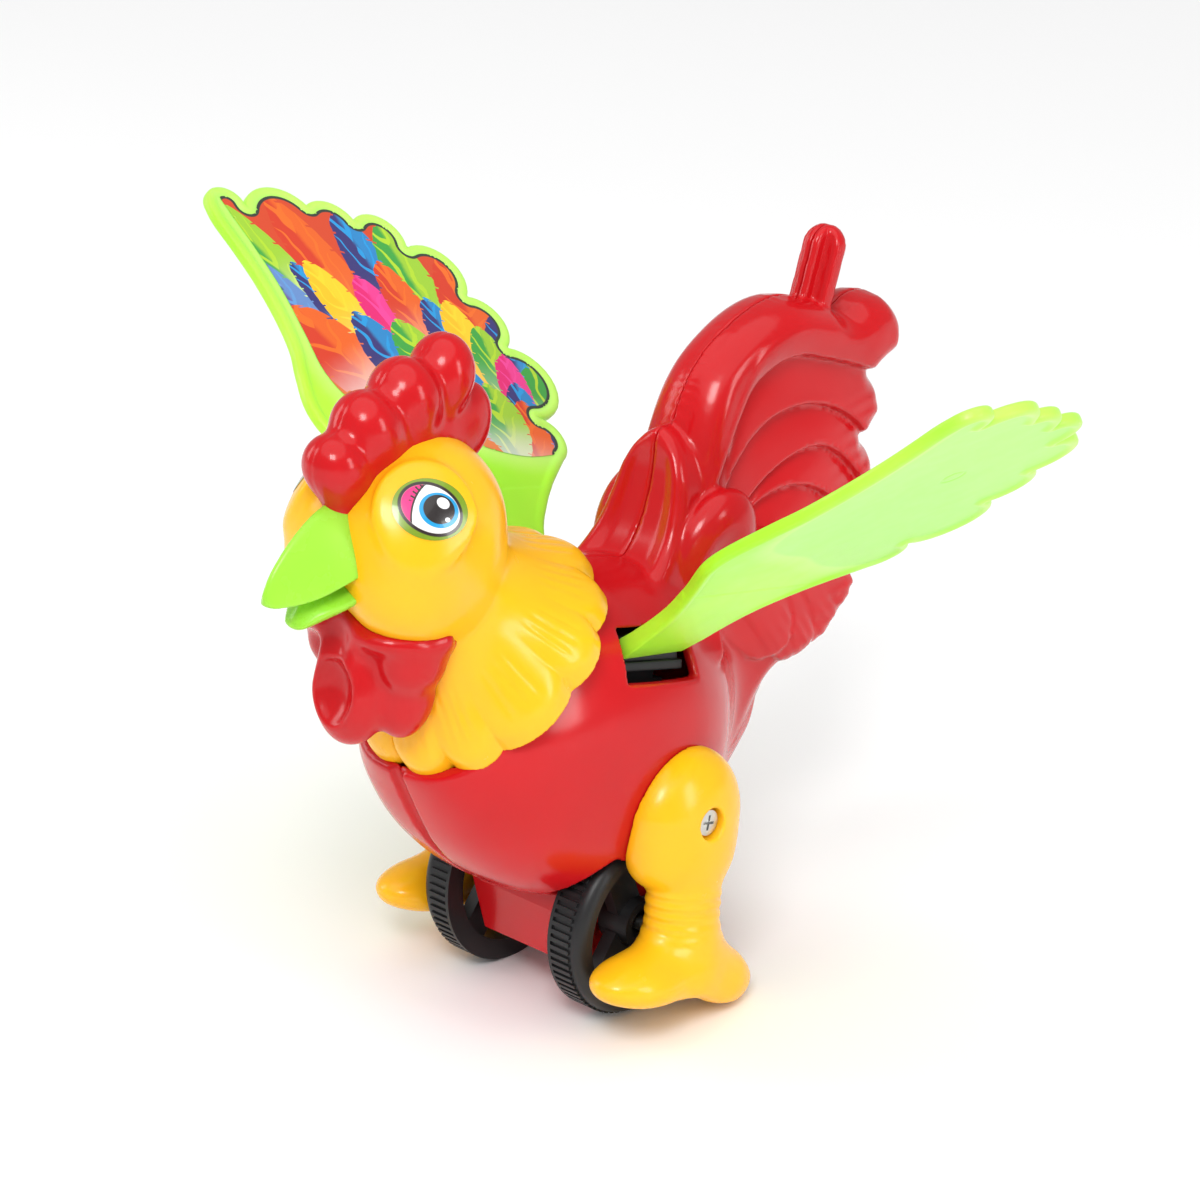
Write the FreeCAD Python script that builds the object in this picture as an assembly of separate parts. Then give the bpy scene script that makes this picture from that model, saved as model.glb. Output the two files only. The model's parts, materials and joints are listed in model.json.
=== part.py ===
"""A push-along plastic rooster whose wings flap as its wheels turn.

Everything is drawn in the toy's own level frame: x across the toy (its left is +x), q backwards along
the body and h up, with the wheel axle along x through the origin. The finished pieces are then tipped
nose-up about the axle, as the toy stands on two wheels and two heels, and moved so that the row's
origin is on the floor under the middle of the toy. Lengths are millimetres, angles degrees.
"""
import FreeCAD
import Part
import math
import os
from FreeCAD import Matrix, Placement, Rotation, Vector

# Stance
PITCH = 15.0
WHEEL_R = 20.0
AXLE_Y = -11.07

# Shells
BODY_WALL = 1.6
HEAD_WALL = 1.5
FIT = 0.3

# Wheels, axle and cam
AXLE_R = 1.5
AXLE_HALF = 23.0
BUSH_CLEARANCE = 0.05
WHEEL_IN = 14.3
WHEEL_OUT = 22.7
TREAD_SPLIT = 20.0
RIM_IN_R = 15.6
HUB_R = 5.2
SPOKE_COUNT = 3
RIB_COUNT = 72
CAM_R = 6.0
CAM_OFFSET = 1.9
CAM_WIDTH = 5.0

# Mechanism housing
BOX_HALF = 12.0
BOX_WALL = 1.8
BOX_TOP = 16.0

# Wing mechanism
HINGE_X = 3.5
HINGE_H = 57.0
PIN_R = 1.2
BARREL_R = 2.8
PLATE_T = 3.0
PLATE_TILT = 8.0
PLATE_Q = (-18.7, 0.3)
PLATE_TIP_X = 22.5
PAD_X = 14.0
PAD_HALF = 1.2
WING_DROP = 18.0
SLOT_Q = (-21.0, 1.8)
SLOT_H = (51.6, 65.3)

# Wing blade
WING_ROOT = (21.2, -12.2, 61.8)
WING_ANGLE = 39.1
WING_WASH = 3.0
WING_T = 1.6
WING_RIM_T = 2.8
WING_RIM_W = 3.2
STICKER_T = 0.25

# Head, neck and ruff
HEAD_C = (0.0, -63.0, 79.0)
HEAD_R = (19.0, 22.5, 19.5)
RUFF_C = (0.0, -38.85, 52.9)
RUFF_TILT = 52.0
RUFF_X = 27.0
RUFF_A = 29.0
NECK_R = 16.5
EYE_C = (15.6, -75.4, 86.6)
EYE_N = (0.75, -0.51, 0.42)
EYE_R = (7.2, 5.6)
COMB_HALF = 5.5

# Tail, spigot and legs
TAIL_HALF = 7.5
SPIGOT_BASE = (43.8, 125.0)
SPIGOT_TIP = (45.8, 143.0)
SPIGOT_HALF = 5.0
SPIGOT_RIB = 1.7
LEG_X = (23.4, 37.4)
SCREW_Q = -1.8
SCREW_H = 26.0
SCREW_SEAT = 33.8
COUNTERBORE_R = 3.3
LEG_GAP = 0.12
HEEL_Q = 25.2

# Screws that close the body, driven from its right side: place (q, h) and seat depth from the middle
CLOSING = (((-42.0, 33.0), 12.0), ((30.0, 36.0), 12.0), ((58.0, 108.0), 4.2))
BOSS_R = 3.6


def vec(x, q, h):
    return Vector(x, q, h)


def ellipsoid(centre, radii, turn_x=0.0):
    """An ellipsoid, turned about x through its own centre."""
    scale = Matrix()
    scale.A11, scale.A22, scale.A33 = radii
    shape = Part.makeSphere(1.0, Vector(0, 0, 0), Vector(1, 0, 0)).transformGeometry(scale)
    shape.Placement = Placement(Vector(*centre), Rotation(Vector(1, 0, 0), turn_x))
    return shape


def box(x0, x1, q0, q1, h0, h1):
    return Part.makeBox(x1 - x0, q1 - q0, h1 - h0, vec(x0, q0, h0))


def rod(r, x0, x1, q, h):
    """A round bar along x."""
    return Part.makeCylinder(r, x1 - x0, vec(x0, q, h), vec(1, 0, 0))


def fuse(shapes):
    whole = shapes[0]
    if len(shapes) > 1:
        whole = shapes[0].multiFuse(shapes[1:])
    return whole


def closed_spline(points):
    curve = Part.BSplineCurve()
    curve.interpolate(points, PeriodicFlag=True)
    return Part.Wire([curve.toShape()])


def open_spline(points):
    curve = Part.BSplineCurve()
    curve.interpolate(points)
    return curve.toShape()


def section(q, low, high, half, power=2.4, count=20):
    """A rounded closed outline across the body at q."""
    mid = (low + high) / 2
    tall = (high - low) / 2
    points = []
    for i in range(count):
        a = 2 * math.pi * i / count
        c, s = math.cos(a), math.sin(a)
        x = half * math.copysign(abs(c) ** (2 / power), c)
        h = mid + tall * math.copysign(abs(s) ** (2 / power), s)
        points.append(vec(x, q, h))
    return closed_spline(points)


def ring(centre, along, side, rx, ra, count=16):
    """An ellipse with half-widths rx along x and ra along the unit direction `along` (q, h)."""
    points = []
    for i in range(count):
        a = 2 * math.pi * i / count
        s = ra * math.sin(a)
        points.append(vec(centre[0] + rx * math.cos(a), centre[1] + s * along[0] + side[0],
                          centre[2] + s * along[1] + side[1]))
    return closed_spline(points)


def loft(wires):
    return Part.makeLoft(wires, True, False)


def slab(outline, x0, x1):
    """A closed (q, h) wire filled and given a thickness along x."""
    face = Part.Face(outline)
    face.translate(vec(x0, 0, 0))
    return face.extrude(vec(x1 - x0, 0, 0))


def polygon(points):
    return Part.makePolygon([vec(0, q, h) for q, h in points + points[:1]])


def left_of(shape):
    return shape.common(box(0, 200, -200, 200, -100, 250))


def right_of(shape):
    return shape.common(box(-200, 0, -200, 200, -100, 250))


def mirrored(shape):
    return shape.mirror(Vector(0, 0, 0), Vector(1, 0, 0))


def torso(grow):
    """The egg-shaped trunk, with its outline moved out by grow."""
    stations = [(-58.0, 31.0, 42.0, 9.0), (-53.0, 24.5, 51.0, 16.0), (-46.0, 16.5, 59.0, 20.5),
                (-36.0, 9.0, 67.0, 24.5), (-23.0, 4.0, 72.5, 27.0), (-8.0, 2.5, 71.0, 28.0),
                (8.0, 4.5, 66.5, 27.0), (22.0, 10.0, 61.5, 23.0), (34.0, 18.0, 57.0, 16.5),
                (42.0, 24.5, 53.5, 10.0), (47.0, 31.0, 49.0, 5.5)]
    wires = []
    for i, (q, low, high, half) in enumerate(stations):
        end = -grow if i == 0 else grow if i == len(stations) - 1 else 0.0
        wires.append(section(q + end, low - grow, high + grow, half + grow))
    return loft(wires)


def tail_outline(shrink):
    """The tail fan seen from the side: curled top plume, ragged rear edge, underside."""
    middle = (33.0, 86.0)
    points = [(-16.0, 66.0), (-10.5, 82.0), (-2.3, 97.5), (5.8, 111.5), (15.0, 121.5), (28.9, 127.5),
              (45.0, 126.5), (58.0, 129.0), (69.0, 129.0), (73.5, 121.5), (68.5, 114.0), (74.5, 106.5),
              (73.0, 98.0), (77.0, 91.0), (76.5, 82.0), (80.4, 70.0), (75.0, 60.0), (70.0, 51.5),
              (58.0, 47.5), (48.0, 41.5), (44.0, 33.0), (30.0, 34.0), (5.0, 48.0)]
    k = 1 - shrink / 46.0
    return closed_spline([vec(0, middle[0] + (q - middle[0]) * k, middle[1] + (h - middle[1]) * k)
                          for q, h in points])


def ruff_axis():
    """Unit directions in (q, h): up the ruff's ring, and out of it towards the head."""
    a = math.radians(RUFF_TILT)
    return (math.cos(a), math.sin(a)), (-math.sin(a), math.cos(a))


def behind_ruff(offset):
    """A big block on the body side of the ruff's plane, pushed offset towards the head."""
    out = ruff_axis()[1]
    block = Part.makeBox(200, 300, 200, vec(-100, -150, -200))
    turn = Rotation(Vector(1, 0, 0), RUFF_TILT)
    centre = vec(0, RUFF_C[1] + out[0] * offset, RUFF_C[2] + out[1] * offset)
    block.Placement = Placement(centre, turn)
    return block


def neck(grow):
    """The flaring neck between the head and the ruff's ring."""
    along, out = ruff_axis()
    sizes = [(0.0, 25.5, 27.0), (6.0, 23.5, 24.5), (13.0, 19.5, 20.5), (20.0, 17.0, 18.0), (28.0, 16.5, 17.0)]
    wires = []
    for k, rx, ra in sizes:
        wires.append(ring(RUFF_C, along, (out[0] * k, out[1] * k), rx + grow, ra + grow))
    return loft(wires)


def head_outer(grow):
    return ellipsoid(HEAD_C, [r + grow for r in HEAD_R]).fuse(neck(grow))


def ruff_lobes():
    """Rounded lobes round the edge of the ruff."""
    along, out = ruff_axis()
    lobes = []
    for i in range(12):
        a = math.radians(15 + 30 * i)
        x = (RUFF_X - 7.0) * math.cos(a)
        s = (RUFF_A - 7.0) * math.sin(a)
        centre = (x, RUFF_C[1] + s * along[0] + out[0] * 1.6, RUFF_C[2] + s * along[1] + out[1] * 1.6)
        lobes.append(ellipsoid(centre, (8.0, 8.4, 2.6), RUFF_TILT))
    return fuse(lobes)


def housing_outline(inset):
    t = inset
    return polygon([(-15.5 + t, BOX_TOP), (-15.5 + t, 0.5), (-9.0 + t, -11.0 + t), (7.0, -13.5 + t),
                    (13.5 - t, -9.0 + t), (13.5 - t, BOX_TOP)])


def build_housing():
    """The box between the wheels, in two halves, that carries the axle and the cam."""
    outer = slab(housing_outline(0.0), -BOX_HALF, BOX_HALF)
    inner = slab(housing_outline(BOX_WALL), -BOX_HALF + BOX_WALL, BOX_HALF - BOX_WALL)
    inner = inner.fuse(box(-7.5, 7.5, -8.0, 6.0, BOX_TOP - 3, BOX_TOP + 1))
    shell = outer.cut(inner)
    for side in (-1, 1):
        x0 = side * BOX_HALF - 2.0
        shell = shell.fuse(rod(3.6, x0, x0 + 4.0, 0, 0))
    shell = shell.cut(rod(AXLE_R + BUSH_CLEARANCE, -30, 30, 0, 0))
    return shell, outer


def build_wheel():
    """One wheel on the left of the axle: ribbed tread, smooth shoulder, hub ring and spokes."""
    rim = rod(WHEEL_R - 0.5, WHEEL_IN, WHEEL_OUT, 0, 0)
    edge = [e for e in rim.Edges if abs(e.BoundBox.XMin - WHEEL_OUT) < 0.01 and len(e.Vertexes) == 1]
    rim = rim.makeFillet(2.4, edge)
    ribs = []
    for i in range(RIB_COUNT):
        rib = box(WHEEL_IN, TREAD_SPLIT, -0.45, 0.45, WHEEL_R - 1.0, WHEEL_R)
        rib.rotate(Vector(0, 0, 0), Vector(1, 0, 0), 360.0 * i / RIB_COUNT)
        ribs.append(rib)
    bead = rod(WHEEL_R, WHEEL_IN, WHEEL_IN + 0.8, 0, 0)
    wheel = rim.multiFuse(ribs + [bead])
    wheel = wheel.cut(rod(RIM_IN_R, WHEEL_IN - 1, WHEEL_OUT + 1, 0, 0))
    hub = rod(HUB_R, WHEEL_IN + 0.2, WHEEL_OUT - 0.4, 0, 0).cut(rod(3.4, WHEEL_OUT - 2.4, WHEEL_OUT, 0, 0))
    parts = [hub]
    for i in range(SPOKE_COUNT):
        spoke = box(WHEEL_IN + 2.4, WHEEL_IN + 5.4, -3.4, 3.4, HUB_R - 1.0, RIM_IN_R + 1.0)
        spoke.rotate(Vector(0, 0, 0), Vector(1, 0, 0), 360.0 * i / SPOKE_COUNT + 35)
        parts.append(spoke)
    wheel = wheel.multiFuse(parts)
    return wheel.cut(rod(AXLE_R, 0, 30, 0, 0))


def build_cam():
    """An eccentric disc on a short sleeve, highest when the wings are up."""
    disc = rod(CAM_R, -CAM_WIDTH / 2, CAM_WIDTH / 2, 0, CAM_OFFSET)
    sleeve = rod(3.0, -8.0, 8.0, 0, 0)
    return disc.fuse(sleeve).cut(rod(AXLE_R, -30, 30, 0, 0))


def build_lifter():
    """Foot over the cam, a square stem, and a crosshead whose two pads carry the rocker plates."""
    stroke = (PAD_X - HINGE_X) * math.radians(WING_DROP)
    foot_h = CAM_R + CAM_OFFSET + 0.6 + stroke
    pad_top = HINGE_H + (PAD_X - HINGE_X) * math.tan(math.radians(PLATE_TILT))
    pad_top -= PLATE_T / 2 / math.cos(math.radians(PLATE_TILT)) + 0.55
    parts = [box(-6.0, 6.0, -6.0, 4.0, foot_h, foot_h + 2.2),
             box(-3.0, 3.0, -4.0, 0.0, foot_h, 49.0),
             box(-PAD_X - PAD_HALF, PAD_X + PAD_HALF, -5.0, 0.0, 47.5, 50.5)]
    for side in (-1, 1):
        x = side * PAD_X
        parts.append(box(x - PAD_HALF, x + PAD_HALF, -13.0, -3.0, 47.5, pad_top))
    return fuse(parts).removeSplitter()


def build_bracket():
    """The frame inside the body: a guide for the lifter and two cheeks that hold the hinge pins."""
    front, back = PLATE_Q
    parts = [box(-10.0, 10.0, front - 2.2, back + 2.2, 38.0, 40.0)]
    for q in (front - 2.2, back + 0.4):
        parts.append(box(-8.5, 8.5, q, q + 1.8, 38.0, HINGE_H + 4.5))
    parts.append(box(-4.8, 4.8, -5.8, 2.5, 34.0, 40.0))
    frame = fuse(parts)
    frame = frame.cut(box(-3.0 - FIT, 3.0 + FIT, -4.0 - FIT, FIT, 30.0, 44.0))
    for side in (-1, 1):
        frame = frame.cut(pin_bar(PIN_R, side))
    return frame


def pin_bar(r, side, grow=0.0):
    front, back = PLATE_Q
    length = back - front + 4.4 + 2 * grow
    return Part.makeCylinder(r, length, vec(side * HINGE_X, front - 2.2 - grow, HINGE_H), vec(0, 1, 0))


def body_posts(outer):
    """Round posts on the inside of the body's walls that grip the bracket's base."""
    posts = []
    for q in (PLATE_Q[0] + 2.5, PLATE_Q[1] - 2.5):
        for x0, x1 in ((-30.0, -10.0), (10.0, 30.0)):
            posts.append(rod(2.6, x0, x1, q, 39.0))
    return fuse(posts).common(outer)


def wing_wire(inset):
    """The wing's outline: a bowed leading edge, then eight rounded feather tips along the back."""
    lead = [(1.0, -7.0), (10.0, -9.5), (24.0, -17.0), (37.0, -27.8), (45.3, -29.1), (54.3, -25.3),
            (61.3, -22.4), (70.0, -21.7), (80.0, -22.1), (88.4, -23.4), (95.7, -25.1), (100.3, -25.2)]
    tips = [((100.3, -25.2), (104.3, -21.3), (99.3, -15.6)),
            ((99.3, -15.6), (104.4, -6.8), (99.4, 1.5)),
            ((99.4, 1.5), (100.6, 7.8), (95.4, 13.0)),
            ((95.4, 13.0), (97.0, 20.0), (87.9, 24.4)),
            ((87.9, 24.4), (87.2, 32.9), (74.1, 34.3)),
            ((74.1, 34.3), (69.6, 40.6), (59.7, 37.8)),
            ((59.7, 37.8), (52.8, 45.6), (40.3, 35.2)),
            ((40.3, 35.2), (35.6, 39.2), (29.0, 36.0))]
    rear = [(29.0, 36.0), (23.0, 28.8), (17.6, 23.4), (9.7, 17.8), (1.0, 12.5)]

    def pull(point):
        """Move a point towards the middle of the blade, by about inset."""
        mid = (62.0, 3.0)
        away = math.hypot(point[0] - mid[0], point[1] - mid[1])
        k = 1 - inset / max(away, inset)
        return vec(mid[0] + (point[0] - mid[0]) * k, mid[1] + (point[1] - mid[1]) * k, 0)

    edges = [open_spline([pull(p) for p in lead])]
    for start, tip, end in tips:
        edges.append(Part.Arc(pull(start), pull(tip), pull(end)).toShape())
    edges.append(open_spline([pull(p) for p in rear]))
    edges.append(Part.makeLine(pull(rear[-1]), pull(lead[0])))
    return Part.Wire(edges)


def wing_solid(inset, low, high):
    """A slice of the wing between two lifts, standing at the wing's rest angle."""
    face = Part.Face(wing_wire(inset))
    shape = face.extrude(Vector(0, 0, high - low))
    shape.translate(Vector(0, 0, low))
    turn = Rotation(Vector(0, 1, 0), -WING_ANGLE).multiply(Rotation(Vector(1, 0, 0), WING_WASH))
    shape.Placement = Placement(Vector(*WING_ROOT), turn).multiply(shape.Placement)
    return shape


def build_wing():
    """The lime blade with its raised rim, and a tongue that sits on the rocker plate's end."""
    blade = wing_solid(0.0, -WING_T / 2, WING_RIM_T - WING_T / 2)
    blade = blade.cut(wing_solid(WING_RIM_W, WING_T / 2, WING_RIM_T))
    tongue = box(18.5, 24.0, PLATE_Q[0], PLATE_Q[1] - 0.5, 59.4, 62.0)
    return blade.fuse(tongue).removeSplitter()


def build_rocker():
    """A black plate from its hinge barrel out through the body's slot, with grip ribs at its end."""
    front, back = PLATE_Q
    plate = box(HINGE_X, PLATE_TIP_X, front, back, HINGE_H - PLATE_T / 2, HINGE_H + PLATE_T / 2)
    barrel = Part.makeCylinder(BARREL_R, back - front, vec(HINGE_X, front, HINGE_H), vec(0, 1, 0))
    rocker = plate.fuse(barrel)
    rocker = rocker.cut(pin_bar(PIN_R + BUSH_CLEARANCE, 1, 1.0))
    rocker.rotate(vec(HINGE_X, 0, HINGE_H), Vector(0, 1, 0), -PLATE_TILT)
    return rocker


def foot_outline(h, toe, heel, inner, outer):
    """A long foot's outline at height h, wide at the toes and narrower at the heel."""
    points = [((inner + outer) / 2, toe), (inner + 1.5, toe + 6.0), (inner, toe + 16.0),
              (inner + 0.8, heel - 9.0), (inner + 2.6, heel - 1.8), ((inner + outer) / 2, heel),
              (outer - 2.6, heel - 1.8), (outer - 0.8, heel - 9.0), (outer, toe + 16.0),
              (outer - 1.5, toe + 6.0)]
    return closed_spline([vec(x, q, h) for x, q in points])


def build_foot():
    """The foot, flat underneath; its heel's back edge is what meets the floor."""
    tilt = math.radians(PITCH)
    sole = (HEEL_Q * math.sin(tilt) - WHEEL_R) / math.cos(tilt)
    return loft([foot_outline(sole, -18.0, HEEL_Q, 25.0, 37.4),
                 foot_outline(sole + 3.5, -19.5, HEEL_Q + 1.8, 24.2, 38.4),
                 foot_outline(sole + 7.5, -14.5, HEEL_Q - 2.0, 24.6, 37.6),
                 foot_outline(sole + 11.5, -5.5, 15.5, 24.6, 36.4)])


def build_leg():
    """Thigh, ribbed shank and long foot, with a counterbored screw hole."""
    thigh = ellipsoid((29.5, -1.5, 25.5), (8.0, 15.2, 15.6))
    shank = []
    for h, half_x, half_q, q in ((16.0, 6.5, 9.5, 0.5), (9.0, 6.3, 9.0, 1.2), (1.0, 6.2, 8.6, 2.6),
                                 (-5.0, 6.4, 8.8, 4.0), (-9.0, 6.8, 10.5, 4.8)):
        shank.append(closed_spline([vec(30.2 + half_x * math.cos(math.tau * i / 12),
                                        q + half_q * math.sin(math.tau * i / 12), h) for i in range(12)]))
    leg = fuse([thigh, loft(shank), build_foot()])
    leg = leg.common(box(LEG_X[0], 60, -60, 60, -20, 60))
    leg = leg.cut(rod(COUNTERBORE_R, SCREW_SEAT, 60.0, SCREW_Q, SCREW_H))
    return leg.cut(rod(1.4, 0.0, 40.0, SCREW_Q, SCREW_H))


def build_screw(x_seat, length, q, h, r=1.4, head_r=2.7):
    """A pan-head cross-recess screw along x whose head sits outward of x_seat."""
    shank = rod(r, x_seat - length, x_seat, q, h)
    head = rod(head_r, x_seat, x_seat + 1.6, q, h)
    slot_a = box(x_seat + 0.8, x_seat + 2.0, q - 1.6, q + 1.6, h - 0.3, h + 0.3)
    slot_b = box(x_seat + 0.8, x_seat + 2.0, q - 0.3, q + 0.3, h - 1.6, h + 1.6)
    return shank.fuse(head).cut(slot_a).cut(slot_b)


def comb_outline(shrink):
    """Five rounded lobes along the crown, seen from the side."""
    lobes = [((-95.5, 86.5), (-94.0, 94.5), (-89.9, 96.4)),
             ((-89.9, 96.4), (-87.5, 104.6), (-82.4, 105.0)),
             ((-82.4, 105.0), (-77.5, 112.6), (-71.0, 111.5)),
             ((-71.0, 111.5), (-64.5, 117.2), (-57.0, 110.5)),
             ((-57.0, 110.5), (-48.2, 105.5), (-50.5, 95.0))]
    middle = (-70.0, 92.0)
    k = 1 - shrink / 22.0

    def pull(point):
        return vec(0, middle[0] + (point[0] - middle[0]) * k, middle[1] + (point[1] - middle[1]) * k)

    edges = [Part.Arc(pull(start), pull(top), pull(end)).toShape() for start, top, end in lobes]
    edges.append(Part.makeLine(pull(lobes[-1][2]), pull((-62.0, 86.0))))
    edges.append(Part.makeLine(pull((-62.0, 86.0)), pull((-84.0, 80.0))))
    edges.append(Part.makeLine(pull((-84.0, 80.0)), pull(lobes[0][0])))
    return Part.Wire(edges)


def build_comb():
    """The comb, hollow underneath, sitting on the head."""
    outer = slab(comb_outline(0.0), -COMB_HALF, COMB_HALF)
    thin = COMB_HALF - HEAD_WALL
    return outer.cut(slab(comb_outline(HEAD_WALL), -thin, thin)).cut(head_outer(0.0))


def build_wattle():
    """Two hanging front lobes and a collar that wraps the throat."""
    parts = []
    for side in (-1, 1):
        parts.append(ellipsoid((side * 4.6, -76.0, 49.0), (5.6, 6.6, 13.0), 14.0))
        parts.append(ellipsoid((side * 9.0, -70.0, 56.0), (6.5, 10.5, 8.5), 10.0))
    parts.append(ellipsoid((0.0, -77.5, 58.5), (9.0, 9.0, 6.0)))
    outer = fuse(parts)
    inner = fuse([ellipsoid((side * 4.2, -76.0, 50.0), (4.4, 5.0, 10.5), 14.0) for side in (-1, 1)])
    return outer.cut(inner).cut(head_outer(0.0))


def build_beak():
    """A hooked upper beak and a shorter lower one under it."""
    upper = loft([oval(-79.0, 75.0, 9.0, 8.8, 25), oval(-86.0, 73.5, 7.2, 7.4, 25),
                  oval(-93.0, 70.4, 4.6, 5.0, 30), oval(-98.5, 66.9, 2.2, 2.4, 35),
                  oval(-100.6, 65.4, 0.7, 0.8, 35)])
    lower = loft([oval(-79.0, 65.0, 6.2, 3.6, 25), oval(-86.0, 62.8, 4.8, 2.8, 25),
                  oval(-90.0, 61.3, 3.0, 1.9, 25), oval(-92.2, 60.4, 0.9, 0.7, 25)])
    lower = lower.cut(upper)
    skull = head_outer(0.0)
    return upper.cut(skull), lower.cut(skull)


def oval(q, h, rx, rh, lean):
    """An ellipse across the beak, leaning forward at its foot by lean degrees."""
    a = math.radians(90 - lean)
    return ring((0, q, h), (math.cos(a), math.sin(a)), (0, 0), rx, rh, 12)


def build_eye():
    """A thin printed patch that follows the side of the head."""
    normal = Vector(*EYE_N)
    normal.normalize()
    disc = Part.Face(Part.Wire(Part.Ellipse(Vector(0, 0, 0), EYE_R[0], EYE_R[1]).toShape()))
    disc.translate(Vector(0, 0, -6))
    punch = disc.extrude(Vector(0, 0, 12))
    across = Vector(0, 0, 1).cross(normal)
    across.normalize()
    up = normal.cross(across)
    turn = Rotation(across, up, normal, "ZXY")
    punch.Placement = Placement(Vector(*EYE_C), turn).multiply(punch.Placement)
    patch = punch.common(ellipsoid(HEAD_C, [r + STICKER_T for r in HEAD_R]))
    return patch.cut(ellipsoid(HEAD_C, HEAD_R))


def build_spigot():
    """The cross-section peg on the tail that a push stick slides over."""
    lean = math.degrees(math.atan2(SPIGOT_TIP[0] - SPIGOT_BASE[0], SPIGOT_TIP[1] - SPIGOT_BASE[1]))
    length = math.hypot(SPIGOT_TIP[0] - SPIGOT_BASE[0], SPIGOT_TIP[1] - SPIGOT_BASE[1])
    post = fuse([box(-SPIGOT_RIB, SPIGOT_RIB, -SPIGOT_HALF, SPIGOT_HALF, -8, length),
                 box(-SPIGOT_HALF, SPIGOT_HALF, -SPIGOT_RIB, SPIGOT_RIB, -8, length)])
    cap = ellipsoid((0, 0, length - 6.0), (SPIGOT_HALF + 0.3, SPIGOT_HALF + 0.3, 6.0))
    keep = cap.fuse(Part.makeCylinder(SPIGOT_HALF + 2, length + 2.0, vec(0, 0, -8)))
    post = post.common(keep.cut(Part.makeCylinder(20, 20, vec(0, 0, length))))
    post.Placement = Placement(vec(0, *SPIGOT_BASE), Rotation(Vector(1, 0, 0), -lean))
    return post


def closing_bosses(outer):
    """Bosses across the split line for the closing screws."""
    return fuse([rod(BOSS_R, -30.0, 30.0, q, h) for (q, h), seat in CLOSING]).common(outer)


def closing_holes():
    """Pilot holes in the left bosses and counterbored holes in the right ones."""
    holes = []
    for (q, h), seat in CLOSING:
        holes.append(rod(1.2, -seat, min(seat, 8.0), q, h))
        holes.append(rod(2.8, -40.0, -seat, q, h))
    return fuse(holes)


def closing_screws():
    """The screws themselves, as one group."""
    screws = []
    for (q, h), seat in CLOSING:
        screw = build_screw(seat, seat + min(seat, 8.0), q, h, 1.2, 2.5)
        screws.append(mirrored(screw))
    return Part.makeCompound(screws)


def build_body(box_outer):
    """Trunk and tail as one hollow shell, later split down the middle."""
    trunk = torso(0.0)
    fan = slab(tail_outline(0.0), -TAIL_HALF, TAIL_HALF)
    leaf = ellipsoid((0, -1.0, 80.0), (5.0, 12.0, 19.0), -8.0)
    side_leaves = [ellipsoid((side * 12.5, 13.0, 76.0), (3.5, 8.5, 12.5), -20.0) for side in (-1, 1)]
    hump = ellipsoid((0, -3.0, 62.0), (21.0, 17.0, 10.0))
    outer = fuse([trunk, fan, leaf, hump] + side_leaves)
    hollow = torso(-BODY_WALL).fuse(slab(tail_outline(BODY_WALL), -TAIL_HALF + BODY_WALL,
                                         TAIL_HALF - BODY_WALL))
    shell = outer.cut(hollow)
    shell = fuse([shell, body_posts(trunk), closing_bosses(outer), build_spigot()])
    shell = shell.cut(closing_holes())
    shell = shell.common(behind_ruff(0.0))
    shell = shell.cut(box_outer)
    for side in (-1, 1):
        x0, x1 = sorted((side * (BOX_HALF + 1.0), side * (WHEEL_OUT + 1.0)))
        shell = shell.cut(rod(WHEEL_R + 1.5, x0, x1, 0, 0))
        x0, x1 = sorted((side * 8.0, side * 40.0))
        shell = shell.cut(box(x0, x1, SLOT_Q[0], SLOT_Q[1], SLOT_H[0], SLOT_H[1]))
    return shell


def place(shape):
    """Tip the toy nose-up about its axle and stand it on the floor."""
    stance = Placement(Vector(0, AXLE_Y, WHEEL_R), Rotation(Vector(1, 0, 0), -PITCH))
    return shape.transformed(stance.toMatrix(), True)


def both(nodes, name, shape):
    """Add a piece and its mirror image."""
    nodes[name + "_left"] = shape
    nodes[name + "_right"] = mirrored(shape)


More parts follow.
